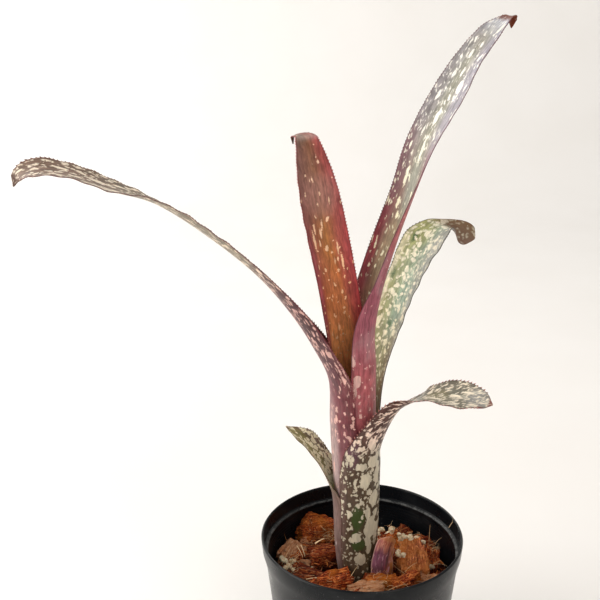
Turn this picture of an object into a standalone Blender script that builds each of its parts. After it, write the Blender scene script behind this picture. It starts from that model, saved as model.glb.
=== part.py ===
"""A small tube-forming bromeliad with spotted, spined leaves in a round nursery pot.

Lengths are metres, +Z is up and the origin is the middle of the pot's base.
Every leaf starts as a flat blank that is then bent along its midrib.
"""
import math
import random

import bmesh
import bpy
from mathutils import Matrix, Vector

MM = 0.001

# Nursery pot, outside and inside radii in mm.
POT_HEIGHT = 90.0
POT_RIM_RADIUS = 52.5
POT_FOOT_RADIUS = 41.5
POT_WALL = 1.2
POT_FLOOR = 1.8
COLLAR_Z = 80.0
COLLAR_STEP = 0.8
COLLAR_FLARE = 0.6
WALL_TOP_RADIUS = 50.6
LEDGE_Z = 82.0
LEDGE_RADIUS = 48.9
LEDGE_DROP = 3.0
FOOT_CHAMFER = 1.0
LIP = 0.5
TURN_STEPS = 48
DRAIN_HOLES = 8
DRAIN_RING = 26.0
DRAIN_RADIUS = 4.0
DRAIN_SIDES = 12

# Bark mix, mm.
MIX_TOP = 66.5
MIX_EDGE_Z = 64.5
MIX_GAP = 0.4
HOLE_FLOOR = 44.0
HOLE_RADIUS = 10.9
HOLE_FLARE = 1.6
TUBE_X = -3.2
CHIP_SINK = 0.35
CHIP_TAPER = 0.8
CHIP_JITTER = 0.07
GRAIN_SINK = 0.22
SEAT_GAP = 0.4
SCALE_SLOT_SIZE = (9.0, 18.0, 24.0)
SCALE_SLOT_PLACE = (10.0, -8.0, 80.0)
SCALE_SLOT_TURN = -58.0
STEM_NECK_RADIUS = 2.6
STEM_SHOULDER_Z = 59.5

# Leaf sheaths stand round each other in layers, and their blades carry spines, mm.
LAYER_PITCH = 1.2
LEAF_THICK = 0.62
SPINE_HEIGHT = 0.85
SPINE_LEAN = 0.5
SPINE_BASE = 1.3
SPINE_PITCH = 8.2
SHEATH_CELLS = 12
FRAME_STEP = 4.0

# Heights of the tube with its middle and the radius of its inmost layer: z, x, radius.
TUBE = (
    (60, -3.2, 3.6),
    (69, -3.3, 5.1),
    (78, -3.4, 6.2),
    (90, -3.5, 6.9),
    (107, -3.6, 7.4),
    (122, -4.1, 8.1),
    (131, -4.3, 8.4),
    (140, -4.5, 8.7),
    (154, -4.5, 9.4),
    (170, -4.9, 9.7),
    (184, -5.2, 9.9),
)

# Blade stations: x, y, z of the midrib, width, wrap and roll in degrees.
LEAVES = {
    "leaf_red_centre": {
        "layer": 0,
        "azimuth": 115,
        "wraps": (250, 250, 250, 248, 240, 228, 216, 203, 184, 165),
        "blade": (
            (-10, 7.5, 191.5, 26, 138, -2),
            (-13.5, 7, 221, 22.5, 89, -4),
            (-18.5, 13.5, 248.5, 22, 60, -5),
            (-22.5, 20, 270.5, 19, 44, -13),
            (-26.5, 29, 288.5, 12, 40, -18),
            (-28.5, 39, 291, 8.5, 30, -18),
            (-33.5, 43.5, 290.5, 5, 26, -16),
            (-34, 44, 286.5, 2, 12, -13),
        ),
    },
    "leaf_tall_right": {
        "layer": 1,
        "azimuth": 8,
        "wraps": (254, 254, 254, 252, 246, 240, 234, 230, 224, 218, 212),
        "blade": (
            (5, 3, 201, 38.5, 198, 4),
            (8.5, 10.5, 220.5, 27.5, 178, 19),
            (15.5, 17, 242.5, 26, 131, 18),
            (24, 24, 265.5, 25.5, 91, 19),
            (31.5, 31, 287.5, 25, 59, 27),
            (43, 38, 308, 24.5, 49, 33),
            (53.5, 44, 326, 19.5, 40, 35),
            (65.5, 49, 342, 13.5, 30, 41),
            (72, 52.5, 345, 9, 40, 35),
            (76, 54.5, 345.5, 6, 40, 27),
            (76.5, 55.5, 340.5, 2, 10, 19),
        ),
    },
    "leaf_long_left": {
        "layer": 2,
        "azimuth": 188,
        "wraps": (252, 252, 252, 250, 246, 230, 210, 190, 172),
        "blade": (
            (-17, -3.5, 177.5, 34.5, 130, 1),
            (-25, -7, 196.5, 30, 110, 4),
            (-35.5, -10, 214.5, 25.5, 80, 11),
            (-50, -14, 233.5, 21.5, 57, 11),
            (-70.5, -18, 252.5, 20, 46, 16),
            (-93, -22, 269, 19, 39, 15),
            (-113.5, -26, 277.5, 19.5, 36, -1),
            (-132, -29, 285, 17.5, 38, -7),
            (-144.5, -30.5, 286.5, 14.5, 34, -20),
            (-151, -31.5, 284, 8.5, 24, -28),
            (-153, -32, 279.5, 2, 9, -33),
        ),
    },
    "leaf_green_right": {
        "layer": 3,
        "azimuth": 52,
        "wraps": (108, 108, 108, 108, 108, 104, 98, 92),
        "blade": (
            (7.5, 14, 173, 23, 101, -13),
            (14.5, 20, 197.5, 22, 80, -10),
            (24.5, 27, 222, 23.5, 60, -12),
            (34, 33, 239, 25.5, 49, -9),
            (41, 38, 244, 19, 43, -12),
            (50.5, 42, 239.5, 17.5, 48, 9),
            (61, 44, 239, 10, 40, 22),
            (57.5, 44.5, 233.5, 2, 22, 26),
        ),
    },
    "leaf_low_right": {
        "layer": 4,
        "azimuth": -34,
        "wraps": (194, 194, 192, 192, 190, 188, 182, 158),
        "blade": (
            (10.5, -9.5, 154.5, 24, 97, -7),
            (16, -10.5, 164, 17.5, 83, -8),
            (22.5, -12, 168.5, 16, 58, 1),
            (30, -16, 173, 17.5, 49, 18),
            (42, -20, 175, 19.5, 49, 36),
            (51, -23.5, 175, 15.5, 52, 42),
            (56, -25.5, 174.5, 10.5, 50, 42),
            (58.5, -26.5, 174, 2, 20, 41),
        ),
    },
    "leaf_low_left": {
        "layer": 3,
        "azimuth": 158,
        "wraps": (100, 100, 100, 98, 94),
        "blade": (
            (-15.5, 4.5, 116.5, 20, 77, 0),
            (-21, 7, 128, 19.5, 60, -4),
            (-30.5, 11, 139.5, 16.5, 50, -7),
            (-39, 15, 144, 2, 20, -4),
        ),
    },
    "leaf_basal_scale": {
        "layer": 5,
        "azimuth": -42,
        "wraps": (88, 80),
        "blade": (
            (9, -8.5, 76, 14, 72, -14),
            (12, -8.5, 82, 13.5, 66, -26),
            (13, -8, 87, 8.5, 54, -30),
            (13, -7.5, 90, 2, 20, -30),
        ),
    },
}

# Chips that the surface shows: x, y, length, width, height, turn, tilt.
CHIPS = (
    (-25.5, 20, 15, 13, 12, 20, 8),
    (-36, 4, 15, 11, 6, 70, 22),
    (-17, -3, 16, 14, 9, 10, -8),
    (-14, -21, 17, 11, 8, -15, 14),
    (4, -27, 19, 12, 6, 12, 10),
    (20, 0, 15, 12, 10, 80, 12),
    (22, -15, 14, 12, 10, 30, -18),
    (33, -10, 15, 10, 8, 55, 20),
    (37, 8, 13, 10, 8, -30, 10),
    (-27, -14, 12, 9, 7, 40, 0),
    (17, -30, 13, 10, 7, -20, 12),
    (-5, -37, 14, 9, 6, 5, 4),
    (-24, -29, 13, 10, 7, 45, 10),
    (-39, -10, 11, 9, 7, 100, 12),
    (30, -27, 12, 9, 7, 130, 8),
    (24, 20, 13, 11, 9, 35, 6),
    (8, 30, 15, 11, 9, -10, 10),
    (-10, 29, 13, 11, 8, 15, -6),
    (-33, 17, 12, 9, 7, 120, 10),
    (38, -4, 11, 8, 7, 10, -14),
    (20, 36, 12, 9, 7, -35, 6),
    (-8, 40, 12, 8, 7, 5, 4),
)
GRAINS = (
    (-33, -7, 4.2),
    (-29, -4, 3.4),
    (-9, 15, 3.6),
    (13, 17, 4.0),
    (18, 12, 3.8),
    (27, 9, 4.4),
    (27, -5, 3.4),
    (31, 3, 3.2),
    (-22, -23, 3.6),
    (12, -20, 3.2),
    (-3, -17, 3.0),
    (40, -14, 3.4),
)


def clear_scene():
    for obj in list(bpy.data.objects):
        bpy.data.objects.remove(obj, do_unlink=True)
    for mesh in list(bpy.data.meshes):
        bpy.data.meshes.remove(mesh)


def new_collection(name):
    collection = bpy.data.collections.new(name)
    bpy.context.scene.collection.children.link(collection)
    return collection


def new_material(name, rgb, roughness, metallic=0.0):
    material = bpy.data.materials.new(name)
    material.use_nodes = True
    shader = material.node_tree.nodes["Principled BSDF"]
    shader.inputs["Base Color"].default_value = (*rgb, 1.0)
    shader.inputs["Roughness"].default_value = roughness
    shader.inputs["Metallic"].default_value = metallic
    material.diffuse_color = (*rgb, 1.0)
    return material


def new_object(name, bm, collection, material=None):
    mesh = bpy.data.meshes.new(name)
    bm.to_mesh(mesh)
    bm.free()
    obj = bpy.data.objects.new(name, mesh)
    collection.objects.link(obj)
    if material:
        mesh.materials.append(material)
    return obj


def turned(name, profile, collection, material):
    """Turn a profile of (radius, z) in mm round the z axis."""
    bm = bmesh.new()
    verts = [bm.verts.new((r * MM, 0.0, z * MM)) for r, z in profile]
    for first, second in zip(verts, verts[1:]):
        bm.edges.new((first, second))
    obj = new_object(name, bm, collection, material)
    screw = obj.modifiers.new("Turn", "SCREW")
    screw.axis = "Z"
    screw.steps = TURN_STEPS
    screw.render_steps = TURN_STEPS
    screw.use_merge_vertices = True
    screw.merge_threshold = 0.00005
    return obj


def combine(obj, cutter, operation="DIFFERENCE"):
    """Cut another object out of this one, or join it on, with a live Boolean."""
    boolean = obj.modifiers.new(cutter.name, "BOOLEAN")
    boolean.operation = operation
    boolean.solver = "EXACT"
    boolean.use_self = operation == "UNION"
    boolean.object = cutter
    cutter.hide_render = True
    cutter.display_type = "WIRE"
    return boolean


def wall_radius(z):
    """Outside radius of the pot wall below the collar, mm."""
    return POT_FOOT_RADIUS + (WALL_TOP_RADIUS - POT_FOOT_RADIUS) * z / COLLAR_Z


def build_pot(collection, cutters):
    black = new_material("pot_black_plastic", (0.012, 0.014, 0.017), 0.38)
    under_ledge = LEDGE_Z - LEDGE_DROP
    collar_radius = WALL_TOP_RADIUS + COLLAR_STEP
    profile = [
        (0.0, 0.0),
        (0.0, POT_FLOOR),
        (wall_radius(POT_FLOOR) - POT_WALL, POT_FLOOR),
        (wall_radius(under_ledge) - POT_WALL, under_ledge),
        (LEDGE_RADIUS, LEDGE_Z - 1.2),
        (LEDGE_RADIUS, LEDGE_Z - 0.2),
        (collar_radius - COLLAR_FLARE, LEDGE_Z + 0.4),
        (POT_RIM_RADIUS - POT_WALL - 0.2, POT_HEIGHT - LIP),
        (POT_RIM_RADIUS - POT_WALL + 0.4, POT_HEIGHT),
        (POT_RIM_RADIUS - 0.3, POT_HEIGHT - 0.1),
        (POT_RIM_RADIUS, POT_HEIGHT - 0.8),
        (POT_RIM_RADIUS - COLLAR_FLARE, COLLAR_Z + 1.8),
        (collar_radius, COLLAR_Z + 1.0),
        (WALL_TOP_RADIUS, COLLAR_Z),
        (wall_radius(FOOT_CHAMFER + 0.2), FOOT_CHAMFER + 0.2),
        (POT_FOOT_RADIUS - FOOT_CHAMFER, 0.0),
        (0.0, 0.0),
    ]
    pot = turned("nursery_pot", profile, collection, black)
    bm = bmesh.new()
    for index in range(DRAIN_HOLES):
        angle = math.tau * (index + 0.5) / DRAIN_HOLES
        made = bmesh.ops.create_cone(
            bm,
            cap_ends=True,
            segments=DRAIN_SIDES,
            radius1=DRAIN_RADIUS * MM,
            radius2=DRAIN_RADIUS * MM,
            depth=4.0 * POT_FLOOR * MM,
        )
        place = Vector((math.cos(angle), math.sin(angle), 0.0)) * DRAIN_RING * MM
        bmesh.ops.translate(bm, verts=made["verts"], vec=place)
    combine(pot, new_object("drain_hole_cutter", bm, cutters))
    return pot


def build_mix(collection, cutters):
    bark = new_material("husk_chip_mix", (0.33, 0.105, 0.03), 0.9)
    inset = POT_WALL + MIX_GAP
    floor = POT_FLOOR + MIX_GAP
    profile = [
        (0.0, MIX_TOP),
        (POT_RIM_RADIUS * 0.45, MIX_TOP - 0.8),
        (POT_RIM_RADIUS * 0.72, MIX_TOP - 0.3),
        (wall_radius(MIX_EDGE_Z) - inset, MIX_EDGE_Z),
        (wall_radius(floor) - inset, floor),
        (0.0, floor),
        (0.0, MIX_TOP),
    ]
    mix = turned("bark_mix", profile, collection, bark)
    rng = random.Random(7)
    bm = bmesh.new()
    for x, y, length, width, height, turn, tilt in CHIPS:
        made = bmesh.ops.create_cube(bm, size=1.0)
        top = [v for v in made["verts"] if v.co.z > 0]
        bmesh.ops.scale(bm, vec=(CHIP_TAPER, CHIP_TAPER, 1.0), verts=top)
        for vert in made["verts"]:
            vert.co += Vector([rng.uniform(-CHIP_JITTER, CHIP_JITTER) for _ in range(3)])
        size = Vector((length, width, height)) * MM
        bmesh.ops.scale(bm, vec=size, verts=made["verts"])
        tip = tip_and_turn(tilt, turn)
        bmesh.ops.rotate(bm, verts=made["verts"], matrix=tip)
        place = Vector((x, y, MIX_TOP - 1.0 + height * (0.5 - CHIP_SINK))) * MM
        bmesh.ops.translate(bm, verts=made["verts"], vec=place)
    chips = new_object("husk_chips", bm, cutters)
    combine(mix, chips, "UNION")
    bm = bmesh.new()
    for x, y, size in GRAINS:
        made = bmesh.ops.create_icosphere(bm, subdivisions=1, radius=size * 0.5 * MM)
        for vert in made["verts"]:
            vert.co *= rng.uniform(0.88, 1.12)
        bmesh.ops.rotate(bm, verts=made["verts"], matrix=tip_and_turn(25, 50 * x))
        place = Vector((x, y, MIX_TOP - 0.9 + size * (0.5 - GRAIN_SINK))) * MM
        bmesh.ops.translate(bm, verts=made["verts"], vec=place)
    combine(mix, new_object("perlite_grains", bm, cutters), "UNION")
    hole = [
        (0.0, POT_HEIGHT),
        (HOLE_RADIUS + HOLE_FLARE, POT_HEIGHT),
        (HOLE_RADIUS + 0.75 * HOLE_FLARE, MIX_TOP + 2.5),
        (HOLE_RADIUS, MIX_TOP - 6.5),
        (HOLE_RADIUS, HOLE_FLOOR),
        (0.0, HOLE_FLOOR),
    ]
    plain_hole = turned("plant_hole_cutter", hole, cutters, None)
    plain_hole.location.x = TUBE_X * MM
    combine(mix, plain_hole)
    bm = bmesh.new()
    made = bmesh.ops.create_cube(bm, size=1.0)
    bmesh.ops.scale(bm, vec=Vector(SCALE_SLOT_SIZE) * MM, verts=made["verts"])
    turn = tip_and_turn(0, SCALE_SLOT_TURN)
    bmesh.ops.rotate(bm, verts=made["verts"], matrix=turn)
    bmesh.ops.translate(bm, verts=made["verts"], vec=Vector(SCALE_SLOT_PLACE) * MM)
    combine(mix, new_object("scale_leaf_cutter", bm, cutters))
    return mix


def tip_and_turn(tilt, turn):
    """Rotation that tips a piece about x by tilt degrees and turns it by turn degrees."""
    turned_by = Matrix.Rotation(math.radians(turn), 3, "Z")
    return turned_by @ Matrix.Rotation(math.radians(tilt), 3, "X")


def build_stem(collection):
    pale = new_material("stem_tissue", (0.36, 0.33, 0.2), 0.7)
    radius = HOLE_RADIUS - SEAT_GAP
    bottom = HOLE_FLOOR + SEAT_GAP
    profile = [
        (0.0, MIX_TOP),
        (1.6, MIX_TOP - 0.5),
        (2.4, MIX_TOP - 3.5),
        (STEM_NECK_RADIUS, STEM_SHOULDER_Z),
        (radius, STEM_SHOULDER_Z),
        (radius, bottom + 2.0),
        (radius - 2.0, bottom),
        (0.0, bottom),
    ]
    stem = turned("short_stem", profile, collection, pale)
    stem.location.x = TUBE_X * MM
    return stem


def smooth_curve(points, at):
    """Value at distance `at` of a smooth curve through (distance, values) points."""
    last = len(points) - 1
    index = 0
    while index < last - 1 and at > points[index + 1][0]:
        index += 1
    (s0, v0), (s1, v1) = points[index], points[index + 1]
    before = points[max(index - 1, 0)]
    after = points[min(index + 2, last)]
    span = s1 - s0
    t = (at - s0) / span
    blend = (
        2 * t**3 - 3 * t**2 + 1,
        (t**3 - 2 * t**2 + t) * span,
        3 * t**2 - 2 * t**3,
        (t**3 - t**2) * span,
    )
    values = []
    for k in range(len(v0)):
        slope0 = (v1[k] - before[1][k]) / (s1 - before[0])
        slope1 = (after[1][k] - v0[k]) / (after[0] - s0)
        parts = (v0[k], slope0, v1[k], slope1)
        values.append(sum(a * b for a, b in zip(blend, parts)))
    return values


def leaf_points(leaf):
    """Stations of a leaf as (distance along the midrib, values), and the sheath's end."""
    angle = math.radians(leaf["azimuth"])
    stations = []
    for (z, middle, inmost), wrap in zip(TUBE, leaf["wraps"]):
        radius = inmost + LAYER_PITCH * leaf["layer"]
        x = middle + radius * math.cos(angle)
        y = radius * math.sin(angle)
        stations.append((x, y, z, radius * math.radians(wrap), wrap, 0.0))
    sheath_rows = len(stations)
    stations += leaf["blade"]
    points = []
    distance = 0.0
    for index, station in enumerate(stations):
        if index:
            step = Vector(station[:3]) - Vector(stations[index - 1][:3])
            distance += step.length
        points.append((distance, station))
    return points, sheath_rows


def blade_rows(start, end):
    """Distances of the blade's rows: long cells between short cells that carry spines."""
    rows = []
    room = end - start - 4.0
    count = max(2, round(room / SPINE_PITCH))
    pitch = room / count
    for index in range(count):
        at = start + pitch * (index + 0.6)
        rows.append(at)
        rows.append(at + SPINE_BASE)
    rows.append(end - 2.0)
    rows.append(end)
    return rows


def midrib_frames(points, rows, azimuth):
    """Place, tangent, inner normal and sideways direction of the leaf at each row."""
    inward = Vector((-math.cos(azimuth), -math.sin(azimuth), 0.0))
    normal = inward
    frames = []
    distance = 0.0
    for row in rows:
        steps = max(1, math.ceil((row - distance) / FRAME_STEP))
        for step in range(1, steps + 1):
            at = distance + (row - distance) * step / steps
            low = Vector(smooth_curve(points, max(at - 0.2, 0.0))[:3])
            high = Vector(smooth_curve(points, min(at + 0.2, points[-1][0]))[:3])
            tangent = (high - low).normalized()
            normal = (normal - tangent * normal.dot(tangent)).normalized()
        distance = row
        values = smooth_curve(points, row)
        side = tangent.cross(normal)
        roll = math.radians(values[5])
        leaf_normal = normal * math.cos(roll) + side * math.sin(roll)
        leaf_side = side * math.cos(roll) - normal * math.sin(roll)
        frames.append((values, leaf_normal, leaf_side))
    return frames


def bend(co, rows, frames):
    """Bend a point of the flat blank (across, along, thickness) to its place."""
    index = 0
    while index < len(rows) - 2 and co.y > rows[index + 1]:
        index += 1
    share = (co.y - rows[index]) / (rows[index + 1] - rows[index])
    placed = []
    for values, normal, side in (frames[index], frames[index + 1]):
        curl = math.radians(max(values[4], 2.0)) / max(values[3], 1.0)
        turn = co.x * curl
        lift = (1.0 - math.cos(turn)) / curl
        surface = normal * math.cos(turn) - side * math.sin(turn)
        place = Vector(values[:3]) + normal * lift + side * (math.sin(turn) / curl)
        placed.append(place + surface * co.z)
    return placed[0].lerp(placed[1], share)


def build_leaf(name, leaf, collection, material):
    points, sheath_rows = leaf_points(leaf)
    rows = [distance for distance, _ in points[:sheath_rows]]
    rows += blade_rows(rows[-1] + 4.0, points[-1][0])
    frames = midrib_frames(points, rows, math.radians(leaf["azimuth"]))
    bm = bmesh.new()
    bmesh.ops.create_grid(bm, x_segments=SHEATH_CELLS, y_segments=len(rows) - 1, size=1.0)
    last = len(rows) - 1
    for vert in bm.verts:
        vert.index = round((vert.co.x + 1.0) * SHEATH_CELLS / 2)
        row = round((vert.co.y + 1.0) * last / 2)
        half = max(frames[row][0][3], 1.0) / 2
        vert.co = (half * (2.0 * vert.index / SHEATH_CELLS - 1.0), rows[row], 0.0)
    spare = []
    for edge in bm.edges:
        first, second = edge.verts
        tip_end = max(first.co.y, second.co.y)
        if first.index == second.index and first.index % 2 and tip_end > rows[sheath_rows]:
            spare.append(edge)
    bmesh.ops.dissolve_edges(bm, edges=spare, use_verts=True)
    bmesh.ops.recalc_face_normals(bm, faces=bm.faces)
    bmesh.ops.solidify(bm, geom=bm.faces[:], thickness=LEAF_THICK)
    low = min(v.co.z for v in bm.verts)
    high = max(v.co.z for v in bm.verts)
    bmesh.ops.translate(bm, verts=bm.verts, vec=(0.0, 0.0, -(low + high) / 2))
    bmesh.ops.recalc_face_normals(bm, faces=bm.faces)
    add_spines(bm, rows[sheath_rows])
    for vert in bm.verts:
        vert.co = bend(vert.co, rows, frames) * MM
    return new_object(name, bm, collection, material)


def add_spines(bm, start):
    """Raise a spine on the edge face of every short cell of the blade."""
    edge_faces = []
    for face in bm.faces:
        along = [v.co.y for v in face.verts]
        if len(along) != 4 or max(along) - min(along) > SPINE_BASE + 0.3:
            continue
        if min(along) < start - 0.1 or max(along) - min(along) < SPINE_BASE - 0.3:
            continue
        if abs(face.normal.x) > 0.6 and abs(face.normal.z) < 0.2:
            edge_faces.append(face)
    made = bmesh.ops.poke(bm, faces=edge_faces, offset=SPINE_HEIGHT, center_mode="MEAN")
    for vert in made["verts"]:
        vert.co.y += SPINE_LEAN


def build():
    clear_scene()
    collection = new_collection("potted_billbergia")
    cutters = new_collection("cutters")
    build_pot(collection, cutters)
    build_mix(collection, cutters)
    build_stem(collection)
    colours = {
        "leaf_red_centre": (0.26, 0.07, 0.035),
        "leaf_tall_right": (0.22, 0.16, 0.15),
        "leaf_long_left": (0.15, 0.07, 0.075),
        "leaf_green_right": (0.28, 0.36, 0.2),
        "leaf_low_right": (0.3, 0.25, 0.17),
        "leaf_low_left": (0.27, 0.27, 0.12),
        "leaf_basal_scale": (0.14, 0.05, 0.09),
    }
    for name, leaf in LEAVES.items():
        material = new_material(name + "_tissue", colours[name], 0.42)
        build_leaf(name, leaf, collection, material)


build()
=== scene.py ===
"""Finishes and fine pieces of a small spotted bromeliad in a black nursery pot.

The file has the layout of an add-on and is run as a script. Lengths are written in millimetres
and become metres when a mesh is made. Each leaf starts as a flat blank with thorns on its
margins, is painted in its flat millimetres and is then bent along its midrib.
"""
import bisect
import math
import random

import bmesh
import bpy
from bpy.props import FloatProperty, FloatVectorProperty, IntProperty, PointerProperty
from mathutils import Matrix, Vector, noise


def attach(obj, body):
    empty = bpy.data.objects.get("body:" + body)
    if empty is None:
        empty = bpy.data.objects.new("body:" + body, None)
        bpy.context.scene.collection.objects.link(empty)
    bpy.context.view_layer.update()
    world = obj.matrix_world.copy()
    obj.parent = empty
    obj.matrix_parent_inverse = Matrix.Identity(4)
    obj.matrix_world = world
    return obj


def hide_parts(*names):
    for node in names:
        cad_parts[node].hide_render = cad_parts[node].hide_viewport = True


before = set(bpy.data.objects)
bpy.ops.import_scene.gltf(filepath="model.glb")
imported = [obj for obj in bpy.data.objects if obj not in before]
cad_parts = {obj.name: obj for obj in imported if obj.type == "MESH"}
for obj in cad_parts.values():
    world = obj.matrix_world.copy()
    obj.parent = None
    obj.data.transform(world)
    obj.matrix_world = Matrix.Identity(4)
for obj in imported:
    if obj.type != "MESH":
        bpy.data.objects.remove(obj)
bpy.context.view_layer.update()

bl_info = {
    "name": "Potted Billbergia",
    "version": (1, 0, 0),
    "blender": (4, 5, 0),
    "location": "View3D > Sidebar > Billbergia",
    "description": "Builds the leaves, pot, husk mix and studio of a potted billbergia",
    "category": "Object",
}

MM = 0.001
BODY = "root"

# Sockets of the Mix node when it mixes colours.
MIX_A = 6
MIX_B = 7
MIX_OUT = 2

# Nursery pot, mm, as in the solids.
POT_HEIGHT = 90.0
POT_RIM_RADIUS = 52.5
POT_FOOT_RADIUS = 41.5
POT_WALL = 1.2
POT_FLOOR = 1.8
COLLAR_Z = 80.0
COLLAR_STEP = 0.8
COLLAR_FLARE = 0.6
COLLAR_LOW_Z = 74.0
WALL_TOP_RADIUS = 50.6
LEDGE_Z = 82.0
LEDGE_RADIUS = 48.9
LEDGE_DROP = 3.0
LIP = 0.5
RIB_LOW_Z = 50.0
RIB_PITCH = 1.5
RIB_HEIGHT = 0.07
DRAIN_HOLES = 8
DRAIN_RING = 26.0
DRAIN_RADIUS = 4.0
FOOT_LIFT = 0.3
FOOT_ROUND = 1.2

# Edges of the pot that are rounded: from this radius out, and sharper than this angle in degrees.
ROUNDED_FROM = 40.0
ROUNDED_ANGLE = 18.0

# Grain sizes on the pot, mm: moulded skin, water marks, specks and grit.
SKIN_SIZE = 0.3846
CLOUD_SIZE = 13.333
SPECK_SIZE = 2.381
GRIT_SIZE = 1.923

# Husk mix, mm.
MIX_TOP = 66.5
MIX_EDGE_Z = 64.5
MIX_GAP = 0.4
BED_DROP = 2.5
BED_BUMP = 1.7
BED_TONE = 0.2
WALL_CLEAR = 0.3
HOLE_FLOOR = 44.0
HOLE_RADIUS = 10.9
TUBE_X = -3.2
CHIP_SINK = 0.35
SCALE_SLOT_SIZE = (9.0, 18.0, 24.0)
SCALE_SLOT_PLACE = (10.0, -8.0, 80.0)
SCALE_SLOT_TURN = -58.0

# Carving of chips and grains: taper and lean, swell of round ones, depths in mm of the fibre
# ridges and the torn ends, and depth of the lumps as a share of the smallest side.
CHIP_SKEW = 0.3
BALL_SWELL = 1.12
RIDGE_DEPTH = 1.3
END_DEPTH = 2.4
LUMP_SHARE = 0.17

# Loose fibres: clearance from the wall in mm, thinning to the end, and rings of each rod.
STRAND_CLEAR = 1.2
STRAND_TAPER = 0.6
STRAND_STEPS = 9
FUZZ_STEPS = 3

# Leaf layers, mesh and marks, mm.
LAYER_PITCH = 1.2
COLUMNS = 52
SLOPE_STEP = 0.2
LEAST_WIDTH = 1.0
LEAST_HALF = 0.3
FACE_DEPTH = 0.05
TIP_TAPER = 3.0
FIELD_REACH = 1.5
MARK_SWAY = 0.8

# Least wrap in degrees, and shares: width left at the tip, thinning of the margin, neck of a thorn.
LEAST_WRAP = 2.0
TIP_BLUNT = 0.12
MARGIN_THIN = 0.42
THORN_NECK = 0.55

# Waves of the margin: lengths in mm over which they grow and fade, and radians per mm.
WAVE_GROW = 25.0
WAVE_FADE = 10.0
WAVE_FINE = 0.62
WAVE_LONG = 0.27

# Patterns on the leaves, mm: sizes, and how far they push the spots across and along.
DRIFT_SIZE = 5.0
SWELL_SIZE = 2.9412
RAGGED_SIZE = 0.76923
SWELL_REACH = (1.6, 3.0, 0.0)
RAGGED_REACH = (0.5, 0.8, 0.0)
LEAF_SOCKETS = {
    "IOR": 1.45,
    "Specular IOR Level": 0.2,
    "Subsurface Weight": 0.1,
    "Subsurface Scale": 0.6 * MM,
    "Subsurface Radius": (1.0, 0.6, 0.35),
}

# Heights of the tube with its middle and the radius of its inmost layer: z, x, radius.
TUBE = (
    (60, -3.2, 3.6),
    (69, -3.3, 5.1),
    (78, -3.4, 6.2),
    (90, -3.5, 6.9),
    (107, -3.6, 7.4),
    (122, -4.1, 8.1),
    (131, -4.3, 8.4),
    (140, -4.5, 8.7),
    (154, -4.5, 9.4),
    (170, -4.9, 9.7),
    (184, -5.2, 9.9),
)

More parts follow.
